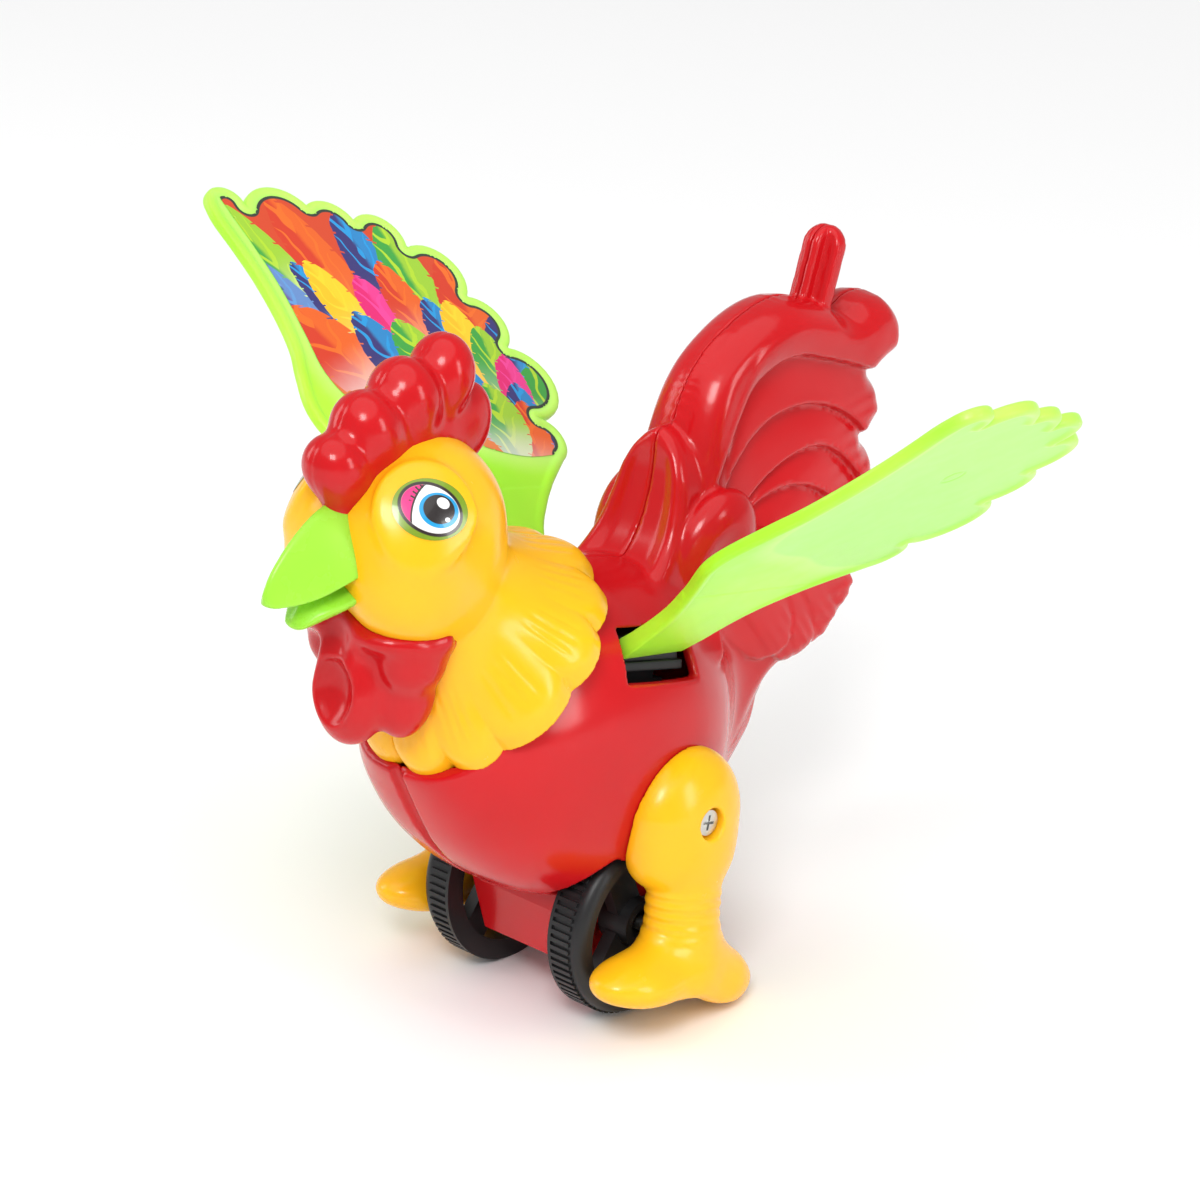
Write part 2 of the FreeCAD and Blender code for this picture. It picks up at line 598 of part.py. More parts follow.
def main():
    os.makedirs("parts", exist_ok=True)
    nodes = {}
    housing, box_outer = build_housing()
    body = build_body(box_outer)
    head = head_outer(0.0).fuse(ruff_lobes().cut(neck(0.0)))
    head = head.cut(head_outer(-HEAD_WALL)).cut(behind_ruff(0.0))
    leg = build_leg().cut(torso(LEG_GAP))
    leg_screw = build_screw(SCREW_SEAT, 14.0, SCREW_Q, SCREW_H)
    body = body.cut(leg_screw).cut(mirrored(leg_screw))
    nodes["body_left_half"] = left_of(body)
    nodes["body_right_half"] = right_of(body)
    nodes["closing_screws"] = closing_screws()
    nodes["housing_left_half"] = left_of(housing)
    nodes["housing_right_half"] = right_of(housing)
    nodes["head_left_half"] = left_of(head)
    nodes["head_right_half"] = right_of(head)
    nodes["comb"] = build_comb()
    nodes["beak_upper"], nodes["beak_lower"] = build_beak()
    nodes["wattle"] = build_wattle().cut(nodes["beak_lower"])
    both(nodes, "eye_decal", build_eye())
    both(nodes, "leg", leg)
    both(nodes, "leg_screw", leg_screw)
    nodes["rocker_bracket"] = build_bracket()
    both(nodes, "wing_hinge_pin", pin_bar(PIN_R, 1))
    nodes["wheel_axle"] = rod(AXLE_R, -AXLE_HALF, AXLE_HALF, 0, 0)
    both(nodes, "wheel", build_wheel())
    nodes["flap_cam"] = build_cam()
    nodes["lifter"] = build_lifter()
    rocker = build_rocker()
    wing = build_wing()
    both(nodes, "rocker_plate", rocker)
    both(nodes, "wing", wing.cut(rocker))
    both(nodes, "wing_sticker", wing_solid(WING_RIM_W + 0.2, WING_T / 2, WING_T / 2 + STICKER_T))
    for name, shape in nodes.items():
        placed = place(shape)
        placed.exportStep("parts/" + name + ".step")
        b = placed.optimalBoundingBox()
        print(name, len(placed.Solids), placed.isValid(), round(placed.Volume / 1000, 2),
              [round(v, 1) for v in (b.XMin, b.XMax, b.YMin, b.YMax, b.ZMin, b.ZMax)])


main()
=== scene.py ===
"""The looks of the push-along rooster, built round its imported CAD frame.

Rounded plastic pieces are sculpted as distance fields in the toy's own level frame (x across, q backwards
along the body, h up, millimetres, wheel axle at the origin), meshed, and tipped to the toy's stance, which
is read from the frame. Wings, stickers and eyes are built from outlines and formulas.
"""
import json
import math

import bpy
import numpy as np
import openvdb as vdb
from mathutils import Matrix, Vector


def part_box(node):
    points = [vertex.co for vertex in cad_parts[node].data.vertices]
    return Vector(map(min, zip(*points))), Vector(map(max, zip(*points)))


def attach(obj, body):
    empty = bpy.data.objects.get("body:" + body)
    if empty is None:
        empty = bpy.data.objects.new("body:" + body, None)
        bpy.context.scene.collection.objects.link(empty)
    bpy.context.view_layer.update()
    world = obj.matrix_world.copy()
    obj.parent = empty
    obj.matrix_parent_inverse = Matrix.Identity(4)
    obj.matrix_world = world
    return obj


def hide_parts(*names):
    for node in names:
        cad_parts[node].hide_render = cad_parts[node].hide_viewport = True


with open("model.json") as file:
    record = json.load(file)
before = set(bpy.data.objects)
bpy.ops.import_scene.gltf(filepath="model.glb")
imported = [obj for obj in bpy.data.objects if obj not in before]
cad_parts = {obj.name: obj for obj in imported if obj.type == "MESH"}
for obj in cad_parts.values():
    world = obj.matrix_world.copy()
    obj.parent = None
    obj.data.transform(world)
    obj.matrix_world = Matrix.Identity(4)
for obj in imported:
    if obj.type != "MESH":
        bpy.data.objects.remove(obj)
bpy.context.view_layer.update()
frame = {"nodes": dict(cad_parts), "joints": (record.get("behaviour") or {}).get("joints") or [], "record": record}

MM = 0.001
SIDES = (("left", 1), ("right", -1))
JOINTS = {j["name"]: j for j in frame["joints"]}
AXLE = sum(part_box("wheel_axle"), Vector()) / 2
FLAP_AXIS = Vector(JOINTS["wing_left_flap"]["axis"])
PITCH = math.atan2(-FLAP_AXIS.z, FLAP_AXIS.y)
COS, SIN = math.cos(PITCH), math.sin(PITCH)


# ---- level frame to row frame

def to_row(points):
    """Level-frame points in mm, as rows of (x, q, h), to row-frame metres."""
    p = np.asarray(points, float)
    y = p[:, 1] * COS + p[:, 2] * SIN
    z = -p[:, 1] * SIN + p[:, 2] * COS
    return np.stack([p[:, 0] * MM + AXLE.x, y * MM + AXLE.y, z * MM + AXLE.z], 1)


# ---- distance fields

def grid(low, high, step):
    """Open sample arrays X, Q, H covering a box."""
    axes = [np.arange(a, b + step, step, dtype=np.float32) for a, b in zip(low, high)]
    return (axes[0][:, None, None], axes[1][None, :, None], axes[2][None, None, :])


def smin(a, b, k):
    """Smooth union."""
    t = np.clip(0.5 + 0.5 * (b - a) / k, 0, 1)
    return b + (a - b) * t - k * t * (1 - t)


def smax(a, b, k):
    """Smooth intersection."""
    return -smin(-a, -b, k)


def smooth(e0, e1, x):
    t = np.clip((x - e0) / (e1 - e0), 0, 1)
    return t * t * (3 - 2 * t)


def heading(degrees):
    """Cosine and sine of an angle."""
    angle = math.radians(degrees)
    return math.cos(angle), math.sin(angle)


def reach_of(root, tip):
    """Length and angle, in degrees, of the line from root to tip."""
    dq, dh = tip[0] - root[0], tip[1] - root[1]
    return math.hypot(dq, dh), math.degrees(math.atan2(dh, dq))


def spun(q, h, centre, degrees):
    """(q, h) seen from axes turned by degrees about a centre."""
    c, s = heading(degrees)
    dq, dh = q - centre[0], h - centre[1]
    return dq * c + dh * s, -dq * s + dh * c


def egg(p, centre, radii, turn=0, lean=0):
    """An ellipsoid, turned in the q-h plane and leaned in the x-h plane."""
    dx = p[0] - centre[0]
    dq, dh = spun(p[1], p[2], centre[1:], turn)
    if lean:
        c, s = heading(lean)
        dx, dh = dx * c + dh * s, -dx * s + dh * c
    k0 = np.sqrt((dx / radii[0]) ** 2 + (dq / radii[1]) ** 2 + (dh / radii[2]) ** 2)
    k1 = np.sqrt((dx / radii[0] ** 2) ** 2 + (dq / radii[1] ** 2) ** 2 + (dh / radii[2] ** 2) ** 2)
    return k0 * (k0 - 1) / np.maximum(k1, 1e-6)


def limb(p, a, b, ra, rb):
    """A round cone from a to b."""
    ax, ay, az = a
    bx, by, bz = b[0] - ax, b[1] - ay, b[2] - az
    dx, dy, dz = p[0] - ax, p[1] - ay, p[2] - az
    t = np.clip((dx * bx + dy * by + dz * bz) / (bx * bx + by * by + bz * bz), 0, 1)
    d = np.sqrt((dx - t * bx) ** 2 + (dy - t * by) ** 2 + (dz - t * bz) ** 2)
    return d - (ra + (rb - ra) * t)


def block(p, low, high, r=0):
    """A box with rounded edges."""
    parts = []
    for axis in range(3):
        mid, half = (low[axis] + high[axis]) / 2, (high[axis] - low[axis]) / 2 - r
        parts.append(np.abs(p[axis] - mid) - half)
    out = np.sqrt(sum(np.maximum(v, 0) ** 2 for v in parts))
    return out + np.minimum(np.maximum(parts[0], np.maximum(parts[1], parts[2])), 0) - r


def disc(p, r, x0, x1, q=0, h=0):
    """A cylinder along x."""
    radial = np.sqrt((p[1] - q) ** 2 + (p[2] - h) ** 2) - r
    return np.maximum(radial, np.abs(p[0] - (x0 + x1) / 2) - abs(x1 - x0) / 2)


def curve(knots):
    """A smooth function through (x, y) knots, flat beyond its ends."""
    xs, ys = np.array([k[0] for k in knots], float), np.array([k[1] for k in knots], float)
    slopes = np.gradient(ys, xs)

    def at(x):
        i = np.clip(np.searchsorted(xs, x) - 1, 0, len(xs) - 2)
        gap = xs[i + 1] - xs[i]
        t = np.clip((x - xs[i]) / gap, 0, 1)
        a = (2 * t ** 3 - 3 * t ** 2 + 1) * ys[i] + (t ** 3 - 2 * t ** 2 + t) * gap * slopes[i]
        return (a + (-2 * t ** 3 + 3 * t ** 2) * ys[i + 1]
                + (t ** 3 - t ** 2) * gap * slopes[i + 1]).astype(np.float32)
    return at


def outline(points, closed=True, fine=10):
    """A smooth line through points."""
    pts = np.array(points, float)
    n = len(pts)
    rows = []
    for i in range(n if closed else n - 1):
        a, b, c, d = (pts[(i + k) % n] if closed else pts[min(max(i + k, 0), n - 1)]
                      for k in (-1, 0, 1, 2))
        for j in range(fine):
            t = j / fine
            rows.append(0.5 * (2 * b + (c - a) * t + (2 * a - 5 * b + 4 * c - d) * t ** 2
                               + (3 * b - a - 3 * c + d) * t ** 3))
    if not closed:
        rows.append(pts[-1])
    return np.array(rows)


def line_distance(u, v, line, closed=True):
    """Distance to a line in a plane, negative inside a closed line."""
    best = np.full(np.broadcast(u, v).shape, 1e9)
    within = np.zeros(best.shape, bool)
    n = len(line)
    for i in range(n if closed else n - 1):
        (ax, ay), (bx, by) = line[i], line[(i + 1) % n]
        ex, ey = bx - ax, by - ay
        t = np.clip(((u - ax) * ex + (v - ay) * ey) / max(ex * ex + ey * ey, 1e-12), 0, 1)
        best = np.minimum(best, (u - ax - t * ex) ** 2 + (v - ay - t * ey) ** 2)
        if closed:
            within ^= ((ay > v) != (by > v)) & (u < ex * (v - ay) / (ey + 1e-12) + ax)
    return np.where(within, -1, 1) * np.sqrt(best)


def even(d, step):
    """Divide a field by its own slope, so that it measures distance near its surface."""
    gx, gq, gh = np.gradient(d, step)
    return d / np.maximum(np.sqrt(gx * gx + gq * gq + gh * gh), 0.35)


# ---- meshes

def new_object(name, data):
    made = bpy.data.objects.new(name, data)
    bpy.context.scene.collection.objects.link(made)
    return made


def mesh_object(name, verts, faces, flip=False):
    """A smooth-shaded mesh object in the row frame from level-frame points."""
    mesh = bpy.data.meshes.new(name)
    rows = to_row(verts).astype(np.float32)
    faces = np.asarray(faces, np.int32)
    if flip:
        faces = faces[:, ::-1]
    size = faces.shape[1]
    mesh.vertices.add(len(rows))
    mesh.vertices.foreach_set("co", rows.ravel())
    mesh.loops.add(faces.size)
    mesh.loops.foreach_set("vertex_index", faces.ravel())
    mesh.polygons.add(len(faces))
    mesh.polygons.foreach_set("loop_start", np.arange(0, faces.size, size, dtype=np.int32))
    mesh.polygons.foreach_set("use_smooth", np.ones(len(faces), bool))
    mesh.update(calc_edges=True)
    mesh.validate()
    return new_object(name, mesh)


def skin(d, low, step):
    """Vertices and quads of a field's zero surface, in level-frame mm."""
    padded = np.pad(np.clip(d, -3 * step, 3 * step), 1, constant_values=3 * step).astype(np.float32)
    volume = vdb.FloatGrid(background=float(3 * step))
    volume.copyFromArray(padded)
    points, quads = volume.convertToQuads(isovalue=0.0)
    return (points - 1) * step + np.array(low, float), quads[:, ::-1]


def relaxed(points, quads):
    """Points moved towards their neighbours' mean and back, which takes out the sampling grain."""
    pairs = np.concatenate([quads[:, [0, 1]], quads[:, [1, 2]], quads[:, [2, 3]], quads[:, [3, 0]]])
    n = len(points)
    count = np.bincount(pairs.ravel(), minlength=n)[:, None]
    for share in (0.5, -0.52) * 2:
        total = np.zeros_like(points)
        for axis in range(3):
            total[:, axis] = (np.bincount(pairs[:, 0], points[pairs[:, 1], axis], n)
                              + np.bincount(pairs[:, 1], points[pairs[:, 0], axis], n))
        points = points + share * (total / np.maximum(count, 1) - points)
    return points


def sculpt(name, d, low, step, mirror=False):
    """A piece from a field; with mirror, also its mirror image."""
    points, quads = skin(d, low, step)
    points = relaxed(points, quads)
    made = [mesh_object(name, points, quads)]
    if mirror:
        made.append(mesh_object(name.replace("left", "right"), points * (-1, 1, 1), quads, True))
    return made


# ---- trunk, tail and leaves

SEAM = 0.06
BODY_WALL = 2.3
BODY_STEP = 0.55
RUFF_C = (-38.85, 52.9)
RUFF_TILT = 52
RUFF_HALF = (27, 29)
NECK_ALONG = heading(RUFF_TILT)
NECK_OUT = (-NECK_ALONG[1], NECK_ALONG[0])
HOUSING_HALF = 12
WELL_R = 21.5
WELL_X = (13, 23.9)
SLOT_LOW = (8, -21, 52.4)
SLOT_HIGH = (40, 1.8, 62.4)

LOWER = curve([(-60, 35), (-58, 31), (-53, 24.2), (-46, 16.3), (-36, 9), (-23, 4), (-8, 2.5), (8, 4.5),
               (22, 10), (34, 18), (42, 24.5), (47, 31), (50, 36)])
UPPER = curve([(-60, 38), (-58, 42), (-53, 51), (-46, 59), (-36, 67), (-23, 72.5), (-8, 71), (8, 66.5),
               (22, 61.5), (34, 57), (42, 53.5), (47, 49), (50, 44)])
WIDTH = curve([(-60, 5), (-58, 9), (-53, 16), (-46, 20.5), (-36, 24.5), (-23, 27), (-8, 28), (6, 26.2),
               (18, 20.8), (28, 13), (36, 8), (43, 5), (50, 2.5)])

TAIL = [(8, 60), (7, 78), (6.6, 96.5), (9.7, 110.7), (18.6, 120.8), (30.5, 127.3), (43, 127.2),
        (50, 125.4), (55.5, 128.6), (62.5, 129.8), (68.6, 125.4), (69.4, 118.4), (65, 113.6),
        (68.8, 109.5), (70.4, 103.8), (66.8, 98.8), (70.6, 95.5), (72.2, 90.5), (69.8, 86.2),
        (71.8, 82), (73.4, 76), (73.2, 69), (69.8, 63), (66.3, 57.6), (62.2, 52.6), (56.5, 49.4),
        (50, 46.2), (45, 40.5), (41, 34), (35, 30), (25, 36), (10, 46)]

PLUME_EDGES = [
    [(8, 72), (12, 86), (16.6, 99.4), (20, 107.2), (26.2, 113.4), (34.5, 116.4), (43.8, 116),
     (52.3, 115.2), (60, 114.2), (66, 113.8)],
    [(10, 66), (14, 79), (18.4, 90.3), (22.5, 96.6), (28.5, 102), (36.2, 105.2), (44.3, 106.2),
     (52.2, 105.2), (59.1, 102.8), (64, 100.2), (68, 98.9)],
    [(12, 60), (18, 72), (24, 82), (29.3, 88.2), (34, 92), (40.7, 95.6), (48.3, 97.2), (55.7, 95.6),
     (62.1, 92.2), (67.5, 88.6), (72, 86.4)],
    [(14, 54), (20, 68), (25, 78), (29.7, 84), (34.9, 87), (41.8, 88.6), (49.7, 88), (55.4, 86),
     (62, 81.6), (69, 75.4), (74, 69.8)],
    [(14, 48), (22, 62), (28, 72), (34, 78), (41, 80.2), (48, 79.4), (55, 75.8), (61, 70.6), (66, 64),
     (70, 57.6)],
]

# Lower feathers: root, tip, half-width
LOWER_FEATHERS = [((39, 74), (69.2, 62), 7.5), ((37, 71), (63.2, 55.5), 7.5),
                  ((33, 68), (55.5, 51.5), 7.5), ((26, 66), (47, 54), 8.5)]


def trunk(p, step):
    """The egg-shaped body, fuller below its middle than above."""
    q = p[1]
    low, high, half = LOWER(q), UPPER(q), WIDTH(q)
    mid, tall = (low + high) / 2, (high - low) / 2
    u = np.abs(p[0]) / half
    v = np.abs(p[2] - mid) / tall
    power = np.where(p[2] > mid, 1.9, 2.6)
    norm = (u ** power + v ** power) ** (1 / power)
    return smax(even((norm - 1) * np.minimum(half, tall), step), q - 48.5, 2)


def tail_relief(q, h):
    """Half-thickness of the tail over the (q, h) plane, negative outside its outline."""
    edge = line_distance(q, h, outline(TAIL, fine=6))
    depth = np.clip(-edge, 0, 40)
    round_edge = np.where(depth < 6, np.sqrt(np.clip(1 - (1 - depth / 6) ** 2, 0, 1)), 1)
    thick = 7 + 2.6 * smooth(30, 5, q) * smooth(125, 85, h) + 1 * smooth(108, 124, h)
    relief = np.zeros_like(edge)
    heights = [curve(knots)(q) for knots in PLUME_EDGES]
    for i, top in enumerate(heights):
        below = heights[i + 1] if i + 1 < len(heights) else top - 9
        t = np.clip((top - h) / np.maximum(top - below, 2), 0, 1)
        band = smooth(0, 0.6, top - h) * smooth(0, 0.6, h - below)
        relief = relief + band * (-2.1 + 2.6 * t ** 1.5 + 0.5 * np.sin(np.pi * t))
    top = heights[0]
    dome = np.clip((h - top) / 9, 0, 1)
    relief = relief + smooth(0, 0.5, h - top) * (0.7 + 0.9 * np.sin(np.pi * dome * 0.8))
    fade = smooth(2, 14, q)
    for root, tip, half in LOWER_FEATHERS:
        length, turn = reach_of(root, tip)
        u, v = spun(q, h, root, turn)
        u, v = u / length, v / half
        rim = np.sqrt(np.clip(1 - np.clip((u - 0.55) / 0.45, 0, 1) ** 2, 0, 1)) * smooth(-0.5, 0.1, u)
        leaf = 1 - np.abs(v) / np.maximum(rim, 0.02)
        on = smooth(0, 0.08, leaf) * (u < 1)
        puff = 1 + 1.1 * np.sqrt(np.clip(leaf, 0, 1))
        barbs = 0.12 * np.sin((v * 3 + u * 0.8) * 2 * np.pi) * smooth(0.5, 0.8, u)
        relief = relief * (1 - on) + on * (np.maximum(relief, 0) * 0.3 + puff + barbs)
    strokes = 0.10 * np.sin((h * 0.9 - q * 0.25) * 2.2) * smooth(52, 64, q) * smooth(112, 104, h)
    half = (thick + (relief + strokes) * fade) * round_edge
    return np.where(edge < 0, half, -edge)


LEAF_HALF = curve([(56, 17.5), (62, 14.8), (69, 12.8), (77, 11.2), (84.5, 9.9), (91, 8.2),
                   (95.6, 5.6), (98.4, 2.8), (100, -0.2)])
LEAF_FRONT = curve([(56, -15.5), (62, -10.6), (69, -4.4), (77, 0.2), (84.5, 1.7), (91, 1.8),
                    (96, 2), (100, 2.6)])


def leaves(p):
    """The pointed saddle leaf on the mid-plane, dished between soft rims, and the round one beside it."""
    half, front = LEAF_HALF(p[2]), LEAF_FRONT(p[2])
    dish = 1.1 * smooth(0.88, 0.45, np.abs(p[0]) / np.maximum(half, 0.5))
    dish = dish * smooth(98, 90, p[2]) * smooth(56, 68, p[2])
    central = smax((np.abs(p[0]) - half) * 0.92, (front + dish - p[1]) * 0.85, 3.2)
    central = smax(smax(central, p[1] - 16, 1), 54 - p[2], 1)
    side = egg(p, (10.5, 13.5, 75), (6.4, 10.8, 14.5), turn=-12, lean=-8)
    side_dish = egg(p, (18.4, 11.5, 74), (3.6, 7.4, 10.8), turn=-12, lean=-8)
    side = smax(side, -side_dish, 0.9)
    curl = egg(p, (0, 58.8, 121), (9.2, 8.6, 8.6))
    return smin(smin(central, side, 0.7), curl, 1.5)


def spigot(p):
    """The cross-shaped peg for a push stick."""
    base, tip = (43.8, 122), (45.9, 143)
    length, turn = reach_of(base, tip)
    along, across = spun(p[1], p[2], base, turn)
    end = np.sqrt(np.maximum(along - (length - 4.6), 0) ** 2 + across ** 2 + p[0] ** 2) - 5
    wide = np.maximum(np.abs(across) - 5, np.abs(p[0]) - 1.7)
    deep = np.maximum(np.abs(across) - 1.7, np.abs(p[0]) - 5)
    cross = smin(wide, deep, 0.8)
    return smax(smax(cross, end, 0.6), -along, 0.3)


def body_field(p, step):
    q2, h2 = p[1][0], p[2][0]
    body = trunk(p, step)
    relief = tail_relief(q2, h2)[None]
    fan = even(np.abs(p[0]) - relief, step)
    hump = egg(p, (0, -4, 60), (17.5, 17.5, 12))
    outer = smin(body, hump, 4)
    outer = smin(outer, fan, 3)
    outer = smin(outer, leaves(p), 1.6)
    shell = np.maximum(outer, -(np.minimum(body, hump) + BODY_WALL))
    shell = smin(shell, spigot(p), 0.8)
    out = (p[1] - RUFF_C[0]) * NECK_OUT[0] + (p[2] - RUFF_C[1]) * NECK_OUT[1]
    shell = smax(shell, out, 0.3)
    shell = smax(shell, -block(p, (-1, -15.7, -20), (HOUSING_HALF + 0.2, 13.7, 16.2)), 0.3)
    shell = smax(shell, -disc(p, WELL_R, *WELL_X), 0.6)
    shell = smax(shell, -block(p, SLOT_LOW, SLOT_HIGH, 0.2), 0.35)
    return smax(shell, -np.maximum(breast_gap(p), -(outer + 1.1)), 0.3)


def breast_gap(p):
    """The open joint down the breast, where the two halves don't quite meet."""
    wide = curve([(-60, 1.2), (-55, 1.5), (-48, 1.3), (-42, 0.9), (-38, 0)])(p[1])
    return np.maximum(p[0] - wide, p[2] - 34) + np.where(p[1] > -38.5, 5, 0)


def make_body():
    low, high = (-1.5, -62, -1), (31, 84, 146.5)
    p = grid(low, high, BODY_STEP)
    d = body_field(p, BODY_STEP)
    d = smax(d, SEAM - p[0], 0.5)
    pieces = sculpt("body_shell_left", d, low, BODY_STEP, True)
    for piece, node in zip(pieces, ("body_left_half", "body_right_half")):
        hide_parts(node)
        finish_piece(piece, "root", RED)


# ---- head, ruff, comb, wattle, beak

HEAD_STEP = 0.45
CREST_STEP = 0.4
BEAK_STEP = 0.35
HEAD_C = (0, -65.2, 79)
HEAD_R = (18, 19.6, 19.3)
EYE_C = np.array((14.8, -76.3, 86.1))
EYE_N = np.array((0.75, -0.51, 0.42)) / math.sqrt(0.75 ** 2 + 0.51 ** 2 + 0.42 ** 2)
EYE_SIDE = np.cross((0, 0, 1), EYE_N)
EYE_SIDE = EYE_SIDE / np.linalg.norm(EYE_SIDE)
EYE_UP = np.cross(EYE_N, EYE_SIDE)
EYE_FILM = 0.12
EYE_HALF = (7.35, 5.95)
NOTCHES = (0, 33, 60, 90, 129, 153, 180)


def ruff_coords(p):
    """Out towards the head, angle from the top and radius over the ring's half-widths."""
    dq, dh = p[1] - RUFF_C[0], p[2] - RUFF_C[1]
    s = dq * NECK_ALONG[0] + dh * NECK_ALONG[1]
    out = dq * NECK_OUT[0] + dh * NECK_OUT[1]
    phi = np.degrees(np.arctan2(np.abs(p[0]) / RUFF_HALF[0], s / RUFF_HALF[1]))
    rho = np.sqrt((p[0] / RUFF_HALF[0]) ** 2 + (s / RUFF_HALF[1]) ** 2)
    return out, phi, rho


def lobe_phase(phi):
    """0 at each notch to 1 at the next."""
    phase = np.zeros_like(phi)
    for a, b in zip(NOTCHES[:-1], NOTCHES[1:]):
        phase = np.where((phi >= a) & (phi <= b), (phi - a) / (b - a), phase)
    return phase


def ruff_field(p):
    """The scalloped ring of neck feathers, with fine grooves along each."""
    out, phi, rho = ruff_coords(p)
    phase = lobe_phase(phi)
    bulge = np.sin(np.pi * phase) ** 0.65
    rim = 0.905 + 0.085 * bulge
    profile = curve([(0.50, 29), (0.60, 22), (0.68, 16.5), (0.78, 11), (0.88, 6.6),
                     (0.96, 3.2), (1.04, 0.2)])
    top = profile(rho) + 1.6 * bulge * smooth(0.62, 0.9, rho)
    grooves = sum(np.exp(-((phase - centre) / 0.035) ** 2) for centre in (0.3, 0.5, 0.7))
    top = top - 0.42 * grooves * smooth(0.68, 0.74, rho) * smooth(0.97, 0.88, rho)
    surface = (out - top) * 0.72
    edge = (rho - rim) * 27
    d = smax(surface, edge, 1.6)
    return smax(d, -1.2 - out, 0.4)


def head_field(p):
    """Skull, crown, cheeks, throat, eye bosses and ruff as one surface."""
    skull = egg(p, HEAD_C, HEAD_R)
    crown = egg(p, (0, -68, 83), (14.5, 14.5, 14.5))
    skull = smin(skull, crown, 4)
    cheek = egg(p, (8.6, -69.2, 68.6), (10.4, 13.6, 10))
    skull = smin(skull, cheek, 5)
    jowl = egg(p, (9.4, -74.4, 77.4), (8.7, 8.3, 11))
    skull = smin(skull, jowl, 8)
    throat = limb(p, (0, -63, 74), (0, -48, 58), 14, 17)
    skull = smin(skull, throat, 6)
    eye, up, normal = (sum((p[i] - EYE_C[i]) * axis[i] for i in range(3))
                       for axis in (EYE_SIDE, EYE_UP, EYE_N))
    boss = np.sqrt((eye / 8.6) ** 2 + (up / 7) ** 2 + (normal / 1.1) ** 2)
    boss = (boss - 1) * 1.1
    skull = smin(skull, boss, 3.2)
    brow = np.abs(np.sqrt((eye / 8.5) ** 2 + (up / 7) ** 2) - 1) * 7.4 - 0.35
    crescent = smax(brow, np.abs(normal + 0.5) - 0.6, 0.5)
    crescent = np.where(up < 2, crescent, crescent + (up - 2) * 0.4)
    skull = smin(skull, crescent, 0.9)
    return smin(skull, ruff_field(p), 2.2)


def make_head():
    low, high = (-1.5, -91, 20), (31, -14, 102)
    p = grid(low, high, HEAD_STEP)
    d = head_field(p)
    shell = np.maximum(d, -(d + 1.6))
    shell = smax(shell, SEAM - p[0], 0.4)
    pieces = sculpt("head_shell_left", shell, low, HEAD_STEP, True)
    for piece, node in zip(pieces, ("head_left_half", "head_right_half")):
        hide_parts(node)
        finish_piece(piece, "root", YELLOW)


# Comb lobes: centre (q, h), half-thickness, radius across, radius outwards, lean
COMB_LOBES = [((-87.4, 91), 6.4, 6.1, 6.8, 45), ((-81, 98), 7.1, 6.9, 8, 32),
              ((-72.6, 104.2), 7.4, 7.1, 8.2, 20), ((-63.6, 109.2), 6.8, 6.3, 8, 4)]


def comb_field(p):
    """Four bulbs on a thick web, a flatter lobe behind, a tab over the beak and the parting line."""
    d = egg(p, (0, -71.2, 92.3), (6, 19.2, 13.8), turn=26)
    for centre, thick, across, out, lean in COMB_LOBES:
        d = smin(d, egg(p, (0,) + centre, (thick, across, out), turn=lean), 2.6)
    back = egg(p, (0, -56.6, 99.4), (3.9, 8.2, 8.8), turn=-20)
    d = smin(d, back, 1.4)
    tab = limb(p, (0, -86.6, 87.6), (0, -86.4, 84.6), 2.4, 1.6)
    d = smin(d, tab, 1)
    return d + np.exp(-(p[0] / 0.28) ** 2) * 0.16


def wattle_field(p):
    """A flanged collar round the throat, over one hanging lobe hollowed like a spoon."""
    pm = (np.abs(p[0]), p[1], p[2])
    collar = egg(pm, (7, -68.4, 59.8), (9.2, 11.4, 4.2), turn=4)
    flange = limb(pm, (9, -71.8, 61.2), (15.2, -66.4, 61), 2.3, 1.5)
    flap = egg(pm, (9.4, -68.2, 56), (6.4, 7.4, 7.6), turn=6)
    rear = egg(pm, (7.2, -66.2, 48.6), (5.6, 6.4, 9.2), turn=4)
    d = smin(smin(smin(collar, flange, 2.2), flap, 2.6), rear, 2)
    front = limb(p, (0, -75.4, 58), (0, -73.4, 48), 6, 6.8)
    front = smin(front, egg(p, (0, -72.6, 46.4), (7.8, 6.6, 10), turn=4), 3)
    d = smin(d, front, 2.2)
    throat = egg(p, (0, -83.4, 56.5), (5.4, 5, 7), turn=-8)
    spoon = egg(p, (0, -80.8, 46), (5.9, 5.4, 8), turn=-8)
    d = smax(d, -throat, 2)
    return smax(d, -spoon, 1)


def make_crest(node, field, low, high, sunk):
    """The comb or the wattle, cut to sit a little way into the head's surface."""
    p = grid(low, high, CREST_STEP)
    d = smax(field(p), -(head_field(p) + sunk), 0.3)
    piece = sculpt(node + "_moulding", d, low, CREST_STEP)[0]
    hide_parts(node)
    finish_piece(piece, "root", RED)


BEAK_ROOT = (-80, 80)
BEAK_TURN = math.degrees(math.atan2(-14.8, -20.5))


def wedge(p, along, up, top, bottom, width, widest, round_x):
    """A beak half: facets falling from a ridge to its widest line, and turning under below it."""
    high, low, half = top(along), bottom(along), width(along)
    mid = low + (high - low) * widest
    rise = np.where(up > mid, (up - mid) / np.maximum(high - mid, 0.3),
                    (mid - up) / np.maximum(mid - low, 0.3))
    side = np.sqrt(p[0] ** 2 + round_x ** 2) - round_x
    shape = side / half + np.abs(rise) ** np.where(up > mid, 1.15, 1.8) - 1
    return shape * np.minimum(half, 4)


